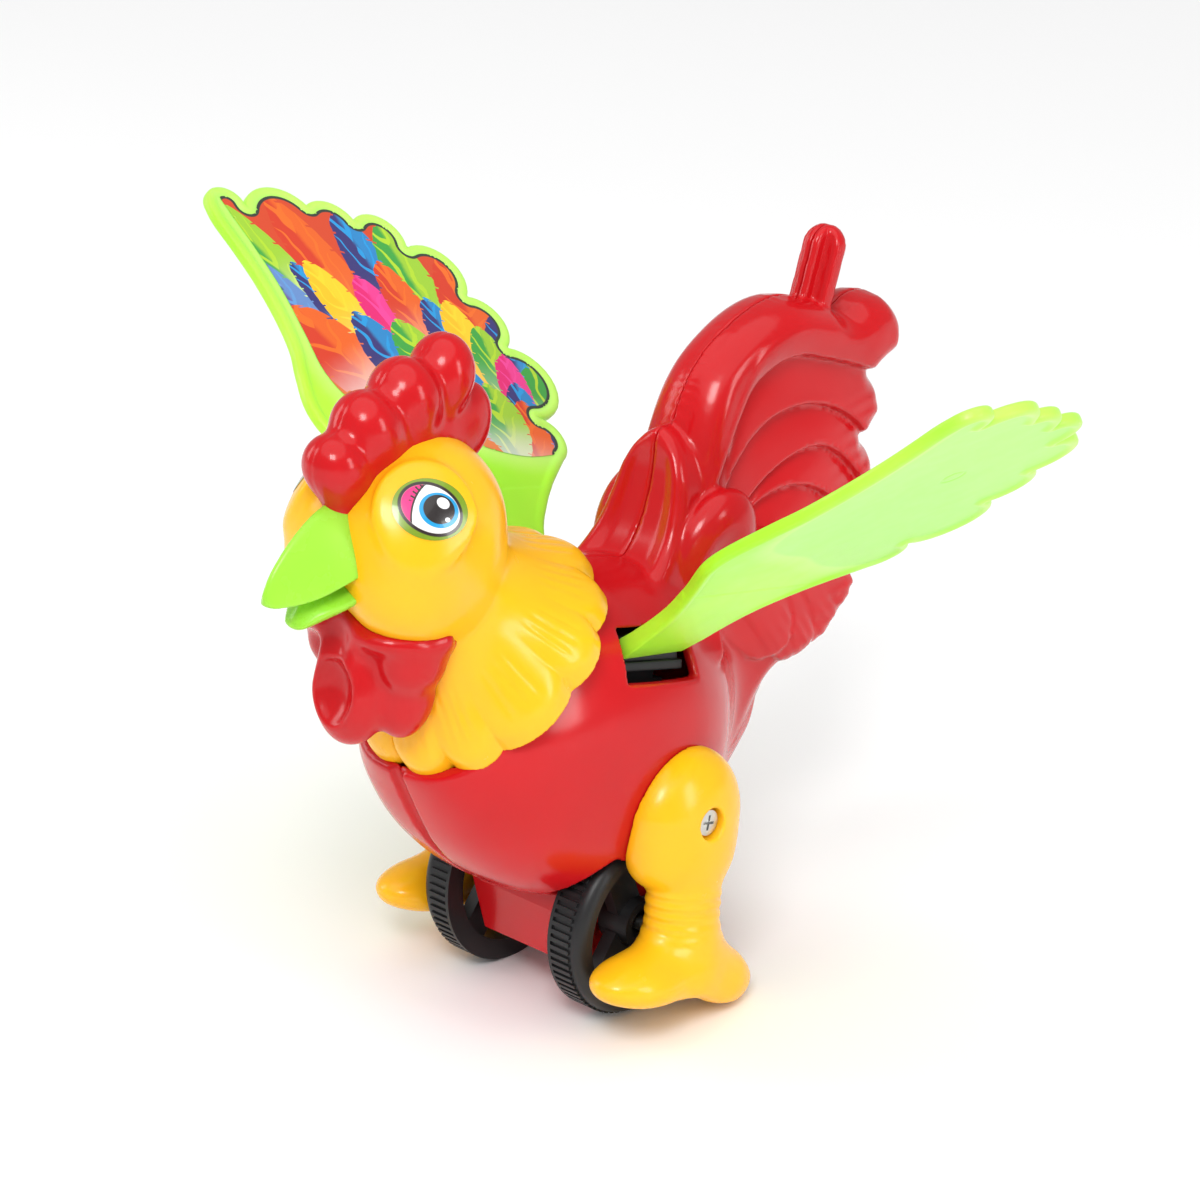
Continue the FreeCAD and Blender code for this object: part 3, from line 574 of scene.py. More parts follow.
def beak_fields(p):
    """The two beak halves, from their top, bottom and half-width along the beak."""
    along, up = spun(p[1], p[2], BEAK_ROOT, BEAK_TURN)
    up = -up
    upper = wedge(
        p, along, up,
        curve([(-6, 7.4), (2, 7.7), (8, 7.9), (13, 7), (18, 5.3), (22, 3.2), (25.3, 0.2)]),
        curve([(-6, -6), (5, -5.6), (12, -5.3), (17, -4.8), (21, -3.6), (25.3, -1.4)]),
        curve([(-6, 8.8), (2, 8.1), (8, 7.2), (14, 5.6), (19, 3.7), (23, 1.9), (25.3, 0.9)]), 0.10, 0.8)
    upper = smax(even(upper, BEAK_STEP), along - 25, 1.2)
    lower = wedge(
        p, along, up,
        curve([(-6, -6.6), (4, -6.3), (12, -6), (16.5, -5.8), (19, -6.9), (21.5, -8.8)]),
        curve([(-6, -12.6), (4, -12.8), (10, -12.6), (16, -11.8), (19, -11), (21.5, -9.8)]),
        curve([(-6, 9), (4, 8.2), (10, 6.7), (15, 4.9), (19, 2.8), (21.5, 1.3)]), 0.62, 0.8)
    lower = smax(even(lower, BEAK_STEP), along - 21.2, 1.2)
    return upper, lower


def make_beak():
    low, high = (-11.5, -104, 52), (11.5, -66, 92)
    p = grid(low, high, BEAK_STEP)
    skull = head_field(p)
    for node, d in zip(("beak_upper", "beak_lower"), beak_fields(p)):
        d = smax(d, -(skull + 0.5), 0.3)
        piece = sculpt(node + "_moulding", d, low, BEAK_STEP)[0]
        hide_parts(node)
        finish_piece(piece, "root", LIME)


# ---- legs

LEG_STEP = 0.4


def leg_field(p):
    """A thigh over a ringed shank on a foot; open at the screw, flat where it meets the floor."""
    lean = 0.12 * np.maximum(26 - p[2], 0)
    across = np.sqrt(((p[0] - 28) / 9) ** 2 + ((p[1] + 1.1 - lean) / 14.6) ** 2)
    above = p[2] > 24.5
    tall, power = np.where(above, 15.4, 15.2), np.where(above, 2, 3.2)
    thigh = (across ** power + (np.abs(p[2] - 24.5) / tall) ** power) ** (1 / power)
    thigh = even((thigh - 1) * 9, LEG_STEP)
    shank = np.sqrt(((p[0] - 29.6) / 6.2) ** 2 + ((p[1] - 2.1 - (8 - p[2]) * 0.16) / 9.5) ** 2) - 1
    rings = 0.02 * np.sin(p[2] * 2 * np.pi / 2.3) * smooth(-3, 0, p[2]) * smooth(12, 9, p[2])
    shank = smax((shank - rings) * 6.6, np.abs(p[2] - 4.5) - 11, 1)
    ankle = limb(p, (30, 3.2, 0), (30.6, 4, -5.4), 6.4, 7.2)
    instep = limb(p, (30.2, 1.5, -1.5), (31, -10.5, -8.2), 5.4, 5)
    toe = egg(p, (31, -8.2, -8.4), (8.2, 12.8, 5.2), turn=2)
    heel = egg(p, (31, 12.2, -9.9), (6.8, 12.8, 6.7), turn=-4)
    slope = limb(p, (30.3, 5, -1), (31, 15, -8.2), 6, 5)
    foot = smin(smin(smin(smin(toe, heel, 6), ankle, 5.5), instep, 3.5), slope, 3)
    for x, q in ((28.2, -16.8), (33.6, -17.4)):
        crease = limb(p, (x, q, -6.6), (x + 0.4, q + 7.5, -3.6), 0.5, 0.2)
        foot = smax(foot, -crease, 0.7)
    arch = 1.2 * np.exp(-((p[1] - 4) / 5) ** 2)
    sole = -12.3 - 0.17 * np.maximum(p[1], 0) + 0.04 * np.minimum(p[1], 0) + arch
    foot = smax(foot, sole - p[2], 2)
    leg = smin(smin(thigh, shank, 1), foot, 2.4)
    leg = smax(leg, 23.5 - p[0], 0.5)
    leg = smax(leg, -disc(p, 3.35, 33.8, 60, -1.8, 26), 0.35)
    floor = p[1] * SIN - p[2] * COS - AXLE.z / MM
    return smax(leg, floor, 0.2)


def make_legs():
    low, high = (19, -25, -16), (41, 32, 44)
    p = grid(low, high, LEG_STEP)
    d = leg_field(p)
    d = smax(d, -(trunk(p, LEG_STEP) - 0.1), 0.3)
    pieces = sculpt("leg_moulding_left", d, low, LEG_STEP, True)
    for piece, node in zip(pieces, ("leg_left", "leg_right")):
        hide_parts(node)
        finish_piece(piece, "root", YELLOW)


# ---- wings and stickers

WING_ROOT = np.array((21.2, -12.2, 61.8))
WING_ANGLE = math.radians(39.1)
WING_WASH = 0.053
WING_STEP = 0.32
BLADE_HALF = 0.85
FILM_LIFT = 0.97
MARK = (74, 8)
LEAD = [(-5, -6.5), (10, -9), (24, -16.4), (37, -25.4), (45.3, -27.4), (54.3, -25.4), (61.3, -23.2),
        (70, -22.4), (80, -22.7), (88.4, -23.9), (95.7, -25.3), (100.3, -25.2)]
TIPS = [((100.3, -25.2), (104.3, -21.3), (99.3, -15.6)), ((99.3, -15.6), (104.4, -6.8), (99.4, 1.5)),
        ((99.4, 1.5), (100.6, 7.8), (95.4, 13)), ((95.4, 13), (97, 20), (87.9, 24.4)),
        ((87.9, 24.4), (87.2, 32.9), (74.1, 34.3)), ((74.1, 34.3), (69.6, 40.6), (59.7, 37.8)),
        ((59.7, 37.8), (52.8, 45.6), (40.3, 35.2)), ((40.3, 35.2), (35.6, 39.2), (29, 36))]
REAR = [(29, 36), (23, 28.8), (17.6, 23.4), (9.7, 17.6), (-5, 12.4)]


def arc_points(a, b, c, count=14):
    """Points on the circle through a, b and c, from a up to but not including c."""
    (ax, ay), (bx, by), (cx, cy) = a, b, c
    d = 2 * (ax * (by - cy) + bx * (cy - ay) + cx * (ay - by))
    sa, sb, sc = (x * x + y * y for x, y in (a, b, c))
    ux = (sa * (by - cy) + sb * (cy - ay) + sc * (ay - by)) / d
    uy = (sa * (cx - bx) + sb * (ax - cx) + sc * (bx - ax)) / d
    r = math.hypot(ax - ux, ay - uy)
    start, mid, end = (math.atan2(y - uy, x - ux) for x, y in (a, b, c))
    sweep = (end - start) % math.tau
    if (mid - start) % math.tau > sweep:
        sweep -= math.tau
    return [(ux + r * math.cos(start + sweep * i / count), uy + r * math.sin(start + sweep * i / count))
            for i in range(count)]


def open_line(points):
    return list(map(tuple, outline(points, closed=False, fine=5)))


def tips_line():
    """The arcs round the eight feather tips, as (span, chord) points."""
    line = []
    for a, b, c in TIPS:
        line += arc_points(a, b, c)
    return line + [TIPS[-1][2]]


def wing_outline():
    """The blade's closed outline: leading edge, feather tips, trailing edge."""
    return np.array(open_line(LEAD)[:-1] + tips_line()[:-1] + open_line(REAR))


def wing_place(span, chord, lift):
    """Wing coordinates to the level frame; the blade droops at its root and outer leading edge."""
    lift = lift + math.tan(WING_WASH) * chord
    lift = lift - 0.8 * np.clip(1 - span / 30, 0, 1) ** 2
    lift = lift - 0.5 * smooth(28, 50, span) * smooth(0, -24, chord)
    x = WING_ROOT[0] + span * math.cos(WING_ANGLE) - lift * math.sin(WING_ANGLE)
    h = WING_ROOT[2] + span * math.sin(WING_ANGLE) + lift * math.cos(WING_ANGLE)
    return np.stack([x, WING_ROOT[1] + chord, h], 1)


def make_wings():
    low, high = (-7.5, -37.5, -3.4), (109, 56.5, 4.2)
    s, c, t = grid(low, high, WING_STEP)
    edge = line_distance(s[:, :, 0].astype(float), c[:, :, 0].astype(float), wing_outline())[:, :, None]
    plate = smax(edge, np.abs(t) - BLADE_HALF, 0.5)
    rim = np.sqrt(np.maximum(np.abs(edge + 1.05) - 0.1, 0) ** 2
                  + np.maximum(np.abs(t + 0.1) - 0.4, 0) ** 2) - 0.95
    d = smin(plate, rim, 0.7)
    arm = smax(edge, np.abs(t) - (1.9 - 0.05 * s), 0.6)
    d = np.where(s < 22, smin(d, arm, 0.6), d)
    mark = np.sqrt((s - MARK[0]) ** 2 + (c - MARK[1]) ** 2) - 2.3
    d = smax(d, -smax(np.abs(mark) - 0.25, t + 0.6, 0.2), 0.2)
    points, quads = skin(d, low, WING_STEP)
    points = relaxed(points, quads)
    inner = print_distance(points[:, 0], points[:, 1])
    placed = wing_place(points[:, 0], points[:, 1], points[:, 2])
    for side, sign in SIDES:
        piece = mesh_object("wing_blade_" + side, placed * (sign, 1, 1), quads, sign < 0)
        store(piece, "print_edge", inner)
        store_plane(piece, points)
        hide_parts("wing_" + side)
        finish_piece(piece, "wing_" + side + "_arm", LIME_WING)


ROCKER_STEP = 0.3
HINGE = (3.5, 57)
PLATE_TILT = math.radians(8)
PLATE_SPAN = (-18.7, 0.3)


def make_rockers():
    """The black rockers: a barrel on its pin, and a plate whose stepped end shows in the slot."""
    low, high = (-0.5, -20, 48), (21.5, 1.6, 63)
    p = grid(low, high, ROCKER_STEP)
    dx, dh = p[0] - HINGE[0], p[2] - HINGE[1]
    c, s = math.cos(PLATE_TILT), math.sin(PLATE_TILT)
    r = (dx * c + dh * s, p[1], -dx * s + dh * c)
    radius = np.sqrt(r[0] ** 2 + r[2] ** 2)
    barrel = np.maximum(radius - 2.8, np.maximum(PLATE_SPAN[0] - r[1], r[1] - PLATE_SPAN[1]))
    plate = block(r, (0, PLATE_SPAN[0], -1.5), (15.4, PLATE_SPAN[1], 1.5), 0.25)
    web = block(r, (13.4, PLATE_SPAN[0] + 0.4, -4.8), (14.4, PLATE_SPAN[1] - 0.4, 0), 0.2)
    bar = block(r, (13.4, PLATE_SPAN[0], -5.6), (15.6, PLATE_SPAN[1], -3.6), 0.3)
    d = smin(smin(smin(barrel, plate, 0.5), web, 0.3), bar, 0.3)
    d = smax(d, 1.25 - radius, 0.2)
    for piece, side in zip(sculpt("rocker_moulding_left", d, low, ROCKER_STEP, True), ("left", "right")):
        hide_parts("rocker_plate_" + side)
        finish_piece(piece, "wing_" + side + "_arm", BLACK)


PRINT_MARGIN = 2.5
PRINT_FRONT = [(104, -22), (96, -20.8), (88, -19.4), (76, -18.2), (64, -18.4), (54, -18.6), (46, -15),
               (41, -6), (38, 5), (32.5, 16), (30, 27), (31, 40)]


def print_distance(u, v):
    """Distance to the edge of the printed film, negative inside; its front is an S across the root."""
    region = np.array(open_line(PRINT_FRONT) + [(31, 80), (140, 80), (140, -22)])
    blade = line_distance(u, v, wing_outline()) + PRINT_MARGIN
    return np.maximum(blade, line_distance(u, v, region))


def make_stickers():
    step = 0.5
    u = np.arange(20, 110, step)
    v = np.arange(-32, 54, step)
    uu, vv = np.meshgrid(u, v, indexing="ij")
    dist = print_distance(uu, vv)
    keep = (dist[:-1, :-1] < 0.3) & (dist[1:, :-1] < 0.3) & (dist[:-1, 1:] < 0.3) & (dist[1:, 1:] < 0.3)
    gu, gv = np.gradient(dist, step)
    slope = np.maximum(np.sqrt(gu * gu + gv * gv), 0.5)
    pull = np.where(dist > -0.3, dist, 0)
    uu, vv = uu - pull * gu / slope, vv - pull * gv / slope
    index = np.arange(uu.size).reshape(uu.shape)
    corners = (index[:-1, :-1], index[1:, :-1], index[1:, 1:], index[:-1, 1:])
    quads = np.stack([corner[keep] for corner in corners], 1)
    used, quads = np.unique(quads, return_inverse=True)
    quads = quads.reshape(-1, 4)
    flat = np.stack([uu.ravel()[used], vv.ravel()[used], np.full(len(used), FILM_LIFT)], 1)
    rim = PRINT_MARGIN - line_distance(flat[:, 0], flat[:, 1], tips_line(), closed=False)
    placed = wing_place(flat[:, 0], flat[:, 1], flat[:, 2])
    for side, sign in SIDES:
        piece = mesh_object("wing_print_" + side, placed * (sign, 1, 1), quads, sign < 0)
        store(piece, "print_edge", rim)
        store_plane(piece, flat)
        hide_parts("wing_sticker_" + side)
        finish_piece(piece, "wing_" + side + "_arm", PRINT)


def store(piece, name, values):
    layer = piece.data.attributes.new(name, "FLOAT", "POINT")
    layer.data.foreach_set("value", np.asarray(values, np.float32))


def store_plane(piece, points):
    """Span and chord, in mm, as a UV map that the print's nodes read."""
    layer = piece.data.uv_layers.new(name="plane")
    corners = np.zeros(len(piece.data.loops), np.int32)
    piece.data.loops.foreach_get("vertex_index", corners)
    layer.data.foreach_set("uv", points[corners][:, :2].astype(np.float32).ravel())


# ---- eyes

def make_eyes():
    """The printed eyes, laid on the bosses along the eye's own axis."""
    rings, turns = 26, 72
    rows = [(0, 0)]
    for i in range(1, rings + 1):
        for j in range(turns):
            a = math.tau * j / turns
            rows.append((EYE_HALF[0] * i / rings * math.cos(a), EYE_HALF[1] * i / rings * math.sin(a)))
    plane = np.array(rows)
    flat = EYE_C + plane[:, :1] * EYE_SIDE + plane[:, 1:] * EYE_UP
    reach = np.full(len(plane), 8.0)
    for _ in range(40):
        where = flat + reach[:, None] * EYE_N
        p = tuple(where[:, i][:, None, None] for i in range(3))
        reach = reach - 0.6 * head_field(p).ravel()
    where = flat + (reach[:, None] + EYE_FILM) * EYE_N
    faces = []
    for i in range(rings):
        for j in range(turns):
            a, b = 1 + i * turns + j, 1 + i * turns + (j + 1) % turns
            faces.append((a - turns, a, b, b - turns) if i else (0, a, b))
    for name, sign in SIDES:
        piece = fan_mesh("eye_print_" + name, where * (sign, 1, 1), faces, sign < 0)
        store_plane(piece, plane)
        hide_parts("eye_decal_" + name)
        finish_piece(piece, "root", EYE)


def fan_mesh(name, points, faces, flip):
    """A mesh that mixes triangles and quads."""
    mesh = bpy.data.meshes.new(name)
    mesh.from_pydata(to_row(points).tolist(), [], [f[::-1] if flip else f for f in faces])
    mesh.polygons.foreach_set("use_smooth", np.ones(len(mesh.polygons), bool))
    mesh.update()
    return new_object(name, mesh)


# ---- materials

class Nodes:
    """Short names for building a node tree."""

    def __init__(self, tree):
        self.tree = tree

    def add(self, kind, **values):
        node = self.tree.nodes.new(kind)
        for key, value in values.items():
            setattr(node, key, value)
        return node

    def link(self, a, b):
        self.tree.links.new(a, b)

    def math(self, op, a, b=None):
        node = self.add("ShaderNodeMath", operation=op)
        for socket, value in zip(node.inputs, (a, b)):
            if value is None:
                continue
            if isinstance(value, (int, float)):
                socket.default_value = value
            else:
                self.link(value, socket)
        return node.outputs[0]

    def plus(self, a, b):
        return self.math("ADD", a, b)

    def minus(self, a, b):
        return self.math("SUBTRACT", a, b)

    def times(self, a, b):
        return self.math("MULTIPLY", a, b)

    def place(self):
        """The point's place on its own piece, in metres."""
        return self.add("ShaderNodeTexCoord").outputs["Object"]

    def mix(self, share, a, b):
        node = self.add("ShaderNodeMix", data_type="RGBA")
        for socket, value in zip((node.inputs[0], node.inputs[6], node.inputs[7]), (share, a, b)):
            if isinstance(value, (int, float)):
                socket.default_value = value
            elif isinstance(value, tuple):
                socket.default_value = value + (1,)
            else:
                self.link(value, socket)
        return node.outputs[2]

    def step(self, value, low, high):
        """0 below low, 1 above high, smooth between."""
        node = self.add("ShaderNodeMapRange", interpolation_type="SMOOTHSTEP")
        self.link(value, node.inputs[0])
        node.inputs[1].default_value = low
        node.inputs[2].default_value = high
        return node.outputs[0]

    def noise(self, scale, detail, coords):
        node = self.add("ShaderNodeTexNoise")
        put(node, Scale=scale, Detail=detail)
        self.link(coords, node.inputs["Vector"])
        return node.outputs[0]

    def between(self, share, low, high):
        """A value from low to high."""
        node = self.add("ShaderNodeMapRange")
        self.link(share, node.inputs[0])
        node.inputs[3].default_value = low
        node.inputs[4].default_value = high
        return node.outputs[0]


def put(node, **values):
    """Plain values on a node's own sockets; an underscore stands for a space."""
    for name, value in values.items():
        node.inputs[name.replace("_", " ")].default_value = value


def new_material(name):
    material = bpy.data.materials.new(name)
    material.use_nodes = True
    return material, Nodes(material.node_tree), material.node_tree.nodes["Principled BSDF"]


def plastic(name, colour, deep, rough=0.24, scatter=0, radius=(1, 0.3, 0.1), coat=0):
    """Moulded plastic: slight colour drift, flow marks and fine orange peel."""
    material, n, shader = new_material(name)
    coords = n.place()
    drift = n.step(n.noise(28, 3, coords), 0.3, 0.7)
    n.link(n.mix(drift, deep, colour), shader.inputs["Base Color"])
    n.link(n.between(n.noise(210, 4, coords), rough - 0.05, rough + 0.07), shader.inputs["Roughness"])
    put(shader, IOR=1.45, Specular_IOR_Level=0.4, Subsurface_Weight=scatter, Subsurface_Radius=radius,
        Subsurface_Scale=0.002, Coat_Weight=coat, Coat_Roughness=0.12)
    bump = n.add("ShaderNodeBump")
    put(bump, Strength=0.25, Distance=0.00002)
    n.link(n.noise(900, 2, coords), bump.inputs["Height"])
    n.link(bump.outputs[0], shader.inputs["Normal"])
    return material, n, shader


def wing_plastic():
    """Thin lime plastic that scatters a little light inside, with a painted glow of light shining through it that
    rises towards the print, and a painted shadow of the print, darker where the print lies over the blade, seen on
    its underside.
    """
    material, n, shader = plastic("lime_thin_plastic", (0.46, 0.93, 0.05), (0.36, 0.86, 0.03), 0.3)
    base = shader.inputs["Base Color"].links[0].from_socket
    edge = n.add("ShaderNodeAttribute", attribute_name="print_edge").outputs["Fac"]
    # painted glow: a paler colour standing in for light shining through the thin blade, from 6 mm outside the
    # print inwards
    painted_glow_mask = n.step(edge, 6, -1)
    painted_glow_colour = n.mix(n.times(painted_glow_mask, 0.55), base, (0.62, 0.95, 0.28))
    # painted shade: the print's shadow seen through the thin blade, darker over the printed area
    painted_print_shadow = n.mix(n.times(n.step(edge, 0.8, -0.6), 0.5), painted_glow_colour, (0.27, 0.80, 0.08))
    n.link(painted_print_shadow, shader.inputs["Base Color"])
    put(shader, Subsurface_Weight=0.25, Subsurface_Radius=(0.6, 1, 0.2), Subsurface_Scale=0.003)
    return material


def steel():
    """Zinc-plated steel with a fine grain."""
    material, n, shader = new_material("zinc_steel")
    coords = n.place()
    grain = n.noise(500, 3, coords)
    n.link(n.mix(grain, (0.50, 0.50, 0.49), (0.74, 0.74, 0.72)), shader.inputs["Base Color"])
    n.link(n.between(n.noise(1500, 2, coords), 0.22, 0.42), shader.inputs["Roughness"])
    put(shader, Metallic=1)
    return material


def plane_coords(n):
    uv = n.add("ShaderNodeUVMap", uv_map="plane").outputs[0]
    split = n.add("ShaderNodeSeparateXYZ")
    n.link(uv, split.inputs[0])
    return split.outputs[0], split.outputs[1]


def ellipse(n, u, v, centre, radii, turn=0):
    """Normalised radius from an ellipse's centre: 1 on its edge."""
    c, s = heading(turn)
    du, dv = n.minus(u, centre[0]), n.minus(v, centre[1])
    a = n.plus(n.times(du, c / radii[0]), n.times(dv, s / radii[0]))
    b = n.plus(n.times(du, -s / radii[1]), n.times(dv, c / radii[1]))
    return n.math("SQRT", n.plus(n.times(a, a), n.times(b, b)))


def inside(n, radius, soft=0.02, at=1):
    return n.step(radius, at + soft, at - soft)


def eye_material():
    """The printed eye: olive border, dark outline, pink lid with lashes, white, blue ring and pupil."""
    material, n, shader = new_material("eye_print")
    u, v = plane_coords(n)
    speckle = n.noise(2500, 2, n.place())
    colour = n.mix(speckle, (0.15, 0.26, 0.006), (0.20, 0.32, 0.010))
    outline_r = ellipse(n, u, v, (0, 0), (6.45, 5.05), -16)
    dark = (0.022, 0.010, 0.010)
    colour = n.mix(inside(n, outline_r), colour, dark)
    ball = ellipse(n, u, v, (0, 0), (5.8, 4.42), -16)
    ball_in = inside(n, ball)
    colour = n.mix(ball_in, colour, (0.86, 0.83, 0.83))
    white = ellipse(n, u, v, (3.2, -1.5), (6.7, 8))
    left = n.times(n.math("LESS_THAN", u, 1.5), ball_in)
    colour = n.mix(n.times(n.step(white, 0.99, 1.01), left), colour, dark)
    colour = n.mix(n.times(n.step(white, 1.045, 1.065), left), colour, (0.83, 0.012, 0.19))
    angle = n.math("ARCTAN2", n.plus(v, 1.5), n.minus(u, 3.2))
    lashes = n.math("GREATER_THAN", n.math("SINE", n.times(angle, 52)), 0.35)
    band = n.times(inside(n, white, 0.01, 1.17), n.math("GREATER_THAN", v, 1))
    lash = n.times(n.times(lashes, band), n.times(left, n.step(white, 0.99, 1.01)))
    colour = n.mix(lash, colour, dark)
    iris = n.times(inside(n, ellipse(n, u, v, (1.55, -0.07), (3.9, 3.4))), ball_in)
    colour = n.mix(iris, colour, (0.004, 0.30, 0.62))
    pupil = n.times(inside(n, ellipse(n, u, v, (1.55, 0.1), (3.1, 2.8))), ball_in)
    colour = n.mix(pupil, colour, (0.016, 0.011, 0.011))
    for centre, radii, turn in (((2.26, 1.4), (1.28, 1.05), -20), ((3.36, -1.64), (0.5, 0.44), 0)):
        colour = n.mix(inside(n, ellipse(n, u, v, centre, radii, turn), 0.05), colour, (0.90, 0.90, 0.92))
    n.link(colour, shader.inputs["Base Color"])
    put(shader, Roughness=0.22, Coat_Weight=0.4)
    return material


def feather_group():
    """A node group that lays one printed feather over the colour beneath it."""
    group = bpy.data.node_groups.new("printed_feather", "ShaderNodeTree")
    face = group.interface
    numbers = ("U", "V", "Root U", "Root V", "Cos", "Sin", "Length", "Width", "Glow")
    for name in numbers + ("Dark", "Bright", "Under"):
        kind = "NodeSocketFloat" if name in numbers else "NodeSocketColor"
        face.new_socket(name=name, in_out="INPUT", socket_type=kind)
    face.new_socket(name="Colour", in_out="OUTPUT", socket_type="NodeSocketColor")
    n = Nodes(group)
    given = n.add("NodeGroupInput").outputs
    du = n.minus(given["U"], given["Root U"])
    dv = n.minus(given["V"], given["Root V"])
    along = n.plus(n.times(du, given["Cos"]), n.times(dv, given["Sin"]))
    across = n.minus(n.times(dv, given["Cos"]), n.times(du, given["Sin"]))
    t = n.math("DIVIDE", along, given["Length"])
    w = n.math("DIVIDE", across, given["Width"])
    side = n.math("ABSOLUTE", w)
    belly = n.math("POWER", n.math("MAXIMUM", n.times(t, n.minus(1, t)), 0), 0.62)
    belly = n.times(belly, 2.36)
    room = n.minus(belly, side)
    nick = n.math("SINE", n.plus(n.times(t, 47), n.times(w, 3)))
    nick = n.times(n.math("GREATER_THAN", nick, 0.96), 0.14)
    room = n.minus(room, nick)
    mask = n.step(room, 0, 0.03)
    half = n.step(w, -0.10, 0.14)
    drift = n.times(n.noise(110, 1, n.place()), 14)
    barb = n.math("SINE", n.plus(n.times(n.minus(t, n.times(side, 0.42)), 24), drift))
    barb = n.step(n.minus(barb, n.times(side, 0.9)), 0.35, 0.5)
    share = n.math("MAXIMUM", n.times(half, 0.62), n.times(barb, 0.85))
    colour = n.mix(share, given["Dark"], given["Bright"])
    near_root = n.times(n.step(t, 0.62, 0.10), given["Glow"])
    colour = n.mix(n.times(near_root, 0.7), colour, (0.93, 0.93, 0.90))
    out = n.add("NodeGroupOutput")
    n.link(n.mix(mask, given["Under"], colour), out.inputs[0])
    return group


ORANGE = ((0.64, 0.040, 0.010), (0.86, 0.17, 0.01))
NAVY = ((0.035, 0.030, 0.17), (0.01, 0.36, 0.80))
GREEN = ((0.045, 0.36, 0.05), (0.50, 0.74, 0.02))
GOLD = ((0.90, 0.52, 0.008), (0.93, 0.66, 0.02))
PINK = ((0.74, 0.012, 0.17), (0.86, 0.06, 0.34))
VIOLET = ((0.14, 0.09, 0.30), (0.12, 0.36, 0.72))

# Printed feathers, outermost row first: tip span and chord, length, half-width, colours, glow at the root
FEATHERS = [(101, -24, 44, 5.2, GREEN, 0.9), (102, -9, 50, 6, ORANGE, 0.1), (98, 8, 44, 6, NAVY, 0.2),
            (95, 19, 44, 6.2, GREEN, 0.1), (86, 33, 40, 6.4, ORANGE, 0.1), (70, 41, 34, 6.6, NAVY, 0.4),
            (56, 46, 28, 7.4, GREEN, 0.8), (38, 41, 24, 7.4, NAVY, 0.5),
            (86, -23, 42, 4.6, VIOLET, 0.5), (84, -12, 28, 3.4, NAVY, 0.2), (84, -8, 30, 4.6, GOLD, 0.2),
            (80, 4, 28, 4.6, PINK, 0.1), (84, 13, 28, 4.6, ORANGE, 0.3), (74, 21, 26, 4.2, NAVY, 0.3),
            (73, 27, 24, 4.4, GOLD, 0.1), (66, 32, 22, 4.2, GREEN, 0.3), (58, 35, 22, 3.8, PINK, 0.1),
            (50, 34, 24, 4.4, NAVY, 0.6), (45, 33, 22, 4.6, ORANGE, 0.5),
            (72, -18, 34, 7.4, ORANGE, 1), (70, -2, 30, 5.6, NAVY, 0.7), (68, 9, 28, 6, GREEN, 0.9),
            (58, 18, 24, 6, NAVY, 0.8), (50, 25, 22, 5.6, GREEN, 0.8)]
FAN_CENTRE = (12, 14)


def print_material():
    """The wing's feather print: overlapping feathers, and a dark line inside the scalloped edge."""
    group = feather_group()
    material, n, shader = new_material("feather_print")
    u, v = plane_coords(n)
    wobble = n.noise(380, 2, n.place())
    shift = n.times(n.minus(wobble, 0.5), 1.1)
    u, v = n.plus(u, shift), n.minus(v, shift)
    colour = n.mix(n.step(u, 40, 70), (0.76, 0.22, 0.06), (0.64, 0.06, 0.015))
    for span, chord, length, width, (dark, bright), glow in FEATHERS:
        turn = math.atan2(chord - FAN_CENTRE[1], span - FAN_CENTRE[0]) * 0.72 - 0.10
        c, s = math.cos(turn), math.sin(turn)
        node = n.add("ShaderNodeGroup")
        node.node_tree = group
        put(node, Root_U=span - length * c, Root_V=chord - length * s, Cos=c, Sin=s, Length=length,
            Width=width * 1.18, Dark=dark + (1,), Bright=bright + (1,), Glow=glow)
        n.link(u, node.inputs["U"])
        n.link(v, node.inputs["V"])
        n.link(colour, node.inputs["Under"])
        colour = node.outputs[0]
    edge = n.add("ShaderNodeAttribute", attribute_name="print_edge").outputs["Fac"]
    colour = n.mix(n.step(edge, -0.85, -0.65), colour, (0.030, 0.040, 0.030))
    n.link(colour, shader.inputs["Base Color"])
    put(shader, Roughness=0.30, Coat_Weight=0.25)
    return material


RED = plastic("red_gloss_plastic", (0.56, 0.006, 0.010), (0.50, 0.005, 0.008), 0.17, 0.08,
              (1, 0.10, 0.05))[0]
YELLOW = plastic("yellow_gloss_plastic", (0.98, 0.50, 0.010), (0.95, 0.46, 0.007), 0.24, 0.2,
                 (1, 0.55, 0.1), 0.05)[0]
LIME = plastic("lime_gloss_plastic", (0.33, 0.70, 0.045), (0.28, 0.66, 0.035), 0.26, 0.2,
               (0.6, 1, 0.2), 0.05)[0]
BLACK = plastic("black_satin_plastic", (0.016, 0.016, 0.017), (0.010, 0.010, 0.011), 0.40)[0]
STEEL = steel()
LIME_WING = wing_plastic()
PRINT = print_material()
EYE = eye_material()


def finish_piece(piece, body, material):
    piece.data.materials.clear()
    piece.data.materials.append(material)
    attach(piece, body)


def dress_cad():
    """Materials for the CAD nodes that stay: wheelset, housing, bracket, lifter, pins and screws."""
    by_slot = {"red_plastic": RED, "yellow_plastic": YELLOW, "lime_plastic": LIME, "black_plastic": BLACK,
               "steel": STEEL, "wing_print": PRINT, "eye_print": EYE}
    slots = {s["node"]: s["material_slot"] for s in frame["record"]["subparts"]}
    for name, node in frame["nodes"].items():
        node.data.materials.clear()
        node.data.materials.append(by_slot[slots[name]])


# ---- stage

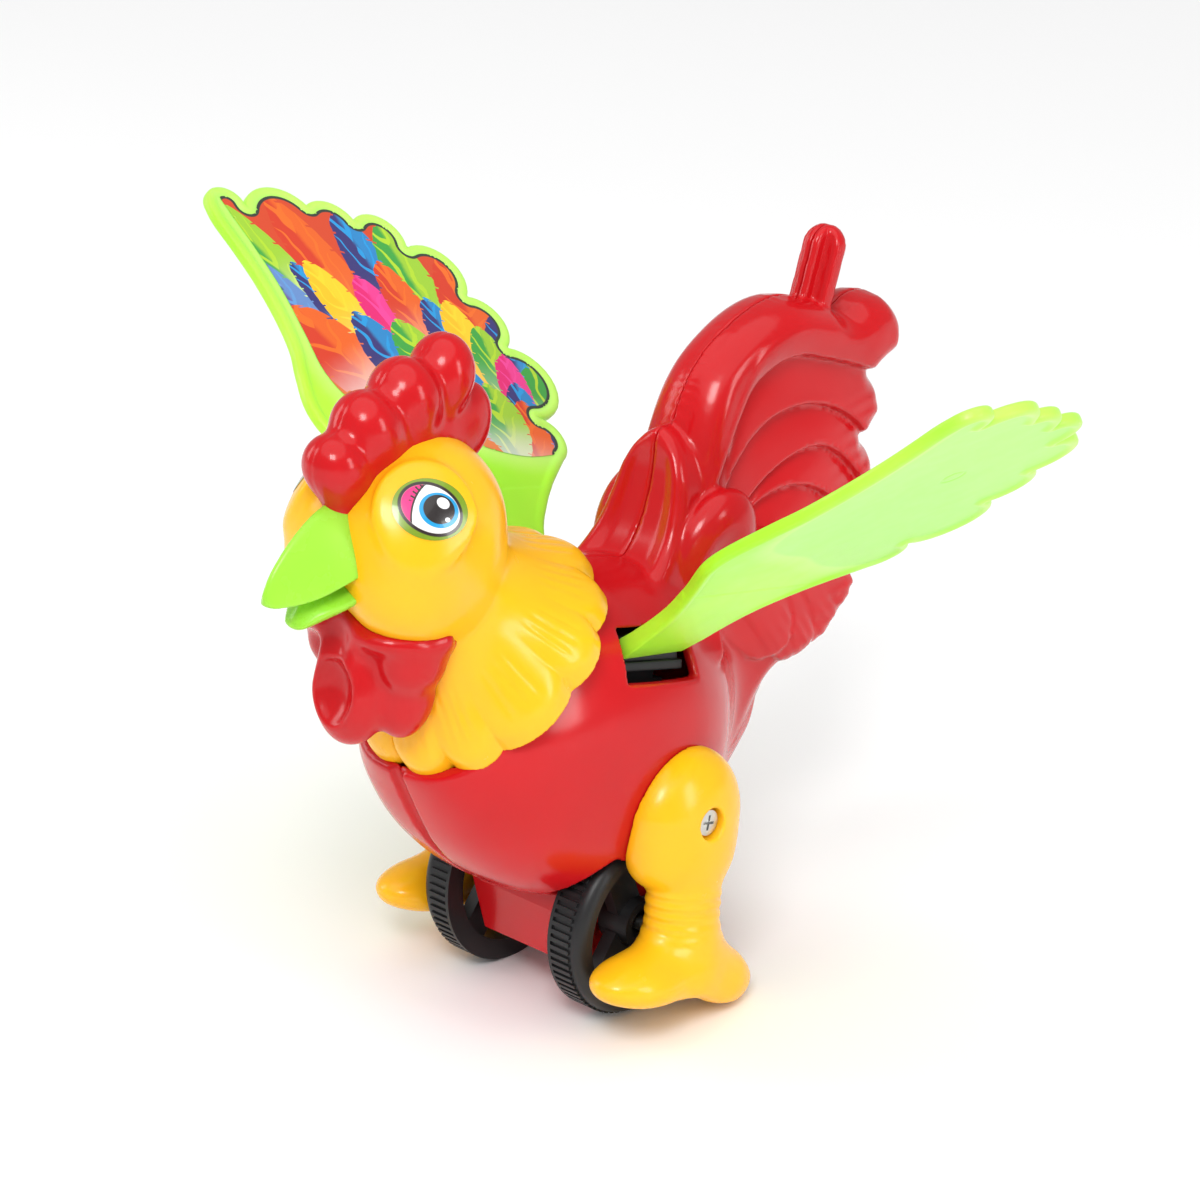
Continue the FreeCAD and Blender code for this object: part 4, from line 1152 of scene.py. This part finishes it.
def make_camera():
    """Three-quarter front view from the toy's left, slightly above."""
    around, above, away = math.radians(43.2), math.radians(22.4), 0.740
    target = Vector((0, -0.0002, 0.0822))
    flat = math.cos(above)
    back = Vector((math.sin(around) * flat, -math.cos(around) * flat, math.sin(above)))
    data = bpy.data.cameras.new("camera")
    data.lens = 108.8
    data.sensor_width = 36
    data.clip_start = 0.01
    camera = new_object("camera", data)
    camera.location = target + back * away
    camera.rotation_euler = back.to_track_quat("Z", "Y").to_euler()
    bpy.context.scene.camera = camera


def area_light(name, place, aim, size, power):
    data = bpy.data.lights.new(name, "AREA")
    data.shape = "RECTANGLE"
    data.size, data.size_y = size
    data.energy = power
    lamp = new_object(name, data)
    lamp.location = place
    lamp.rotation_euler = (Vector(place) - Vector(aim)).to_track_quat("Z", "Y").to_euler()


def make_stage():
    world = bpy.data.worlds.new("studio")
    world.use_nodes = True
    put(world.node_tree.nodes["Background"], Color=(1, 1, 1, 1), Strength=0.44)
    bpy.context.scene.world = world
    bpy.context.scene.view_settings.view_transform = "Standard"
    floor_mesh = bpy.data.meshes.new("floor")
    far = 6
    corners = [(-far, -far, 0), (far, -far, 0), (far, far, 0), (-far, far, 0)]
    floor_mesh.from_pydata(corners, [], [(0, 1, 2, 3)])
    floor = new_object("floor", floor_mesh)
    material, n, shader = new_material("pale_floor")
    drift = n.noise(3, 2, n.place())
    n.link(n.mix(drift, (0.93,) * 3, (0.95,) * 3), shader.inputs["Base Color"])
    put(shader, Roughness=0.7)
    floor_mesh.materials.append(material)
    middle = (0, 0, 0.08)
    area_light("key_softbox", (0.55, -0.75, 0.95), middle, (0.36, 0.36), 7)
    area_light("side_softbox", (1.1, 0.25, 0.45), middle, (0.25, 0.6), 3.5)
    area_light("left_softbox", (-0.9, -0.5, 0.5), middle, (0.4, 0.6), 2.4)
    data = bpy.data.lights.new("overhead", "SUN")
    data.energy = 1.45
    data.angle = math.radians(80)
    overhead = new_object("overhead", data)
    overhead.rotation_euler = (math.radians(12), math.radians(10), 0)


make_camera()
make_stage()
dress_cad()
make_body()
make_head()
make_crest("comb", comb_field, (-9.5, -99, 74), (9.5, -44, 120), 0.4)
make_crest("wattle", wattle_field, (-20, -90, 30), (20, -52, 68), 0.3)
make_beak()
make_legs()
make_wings()
make_rockers()
make_stickers()
make_eyes()
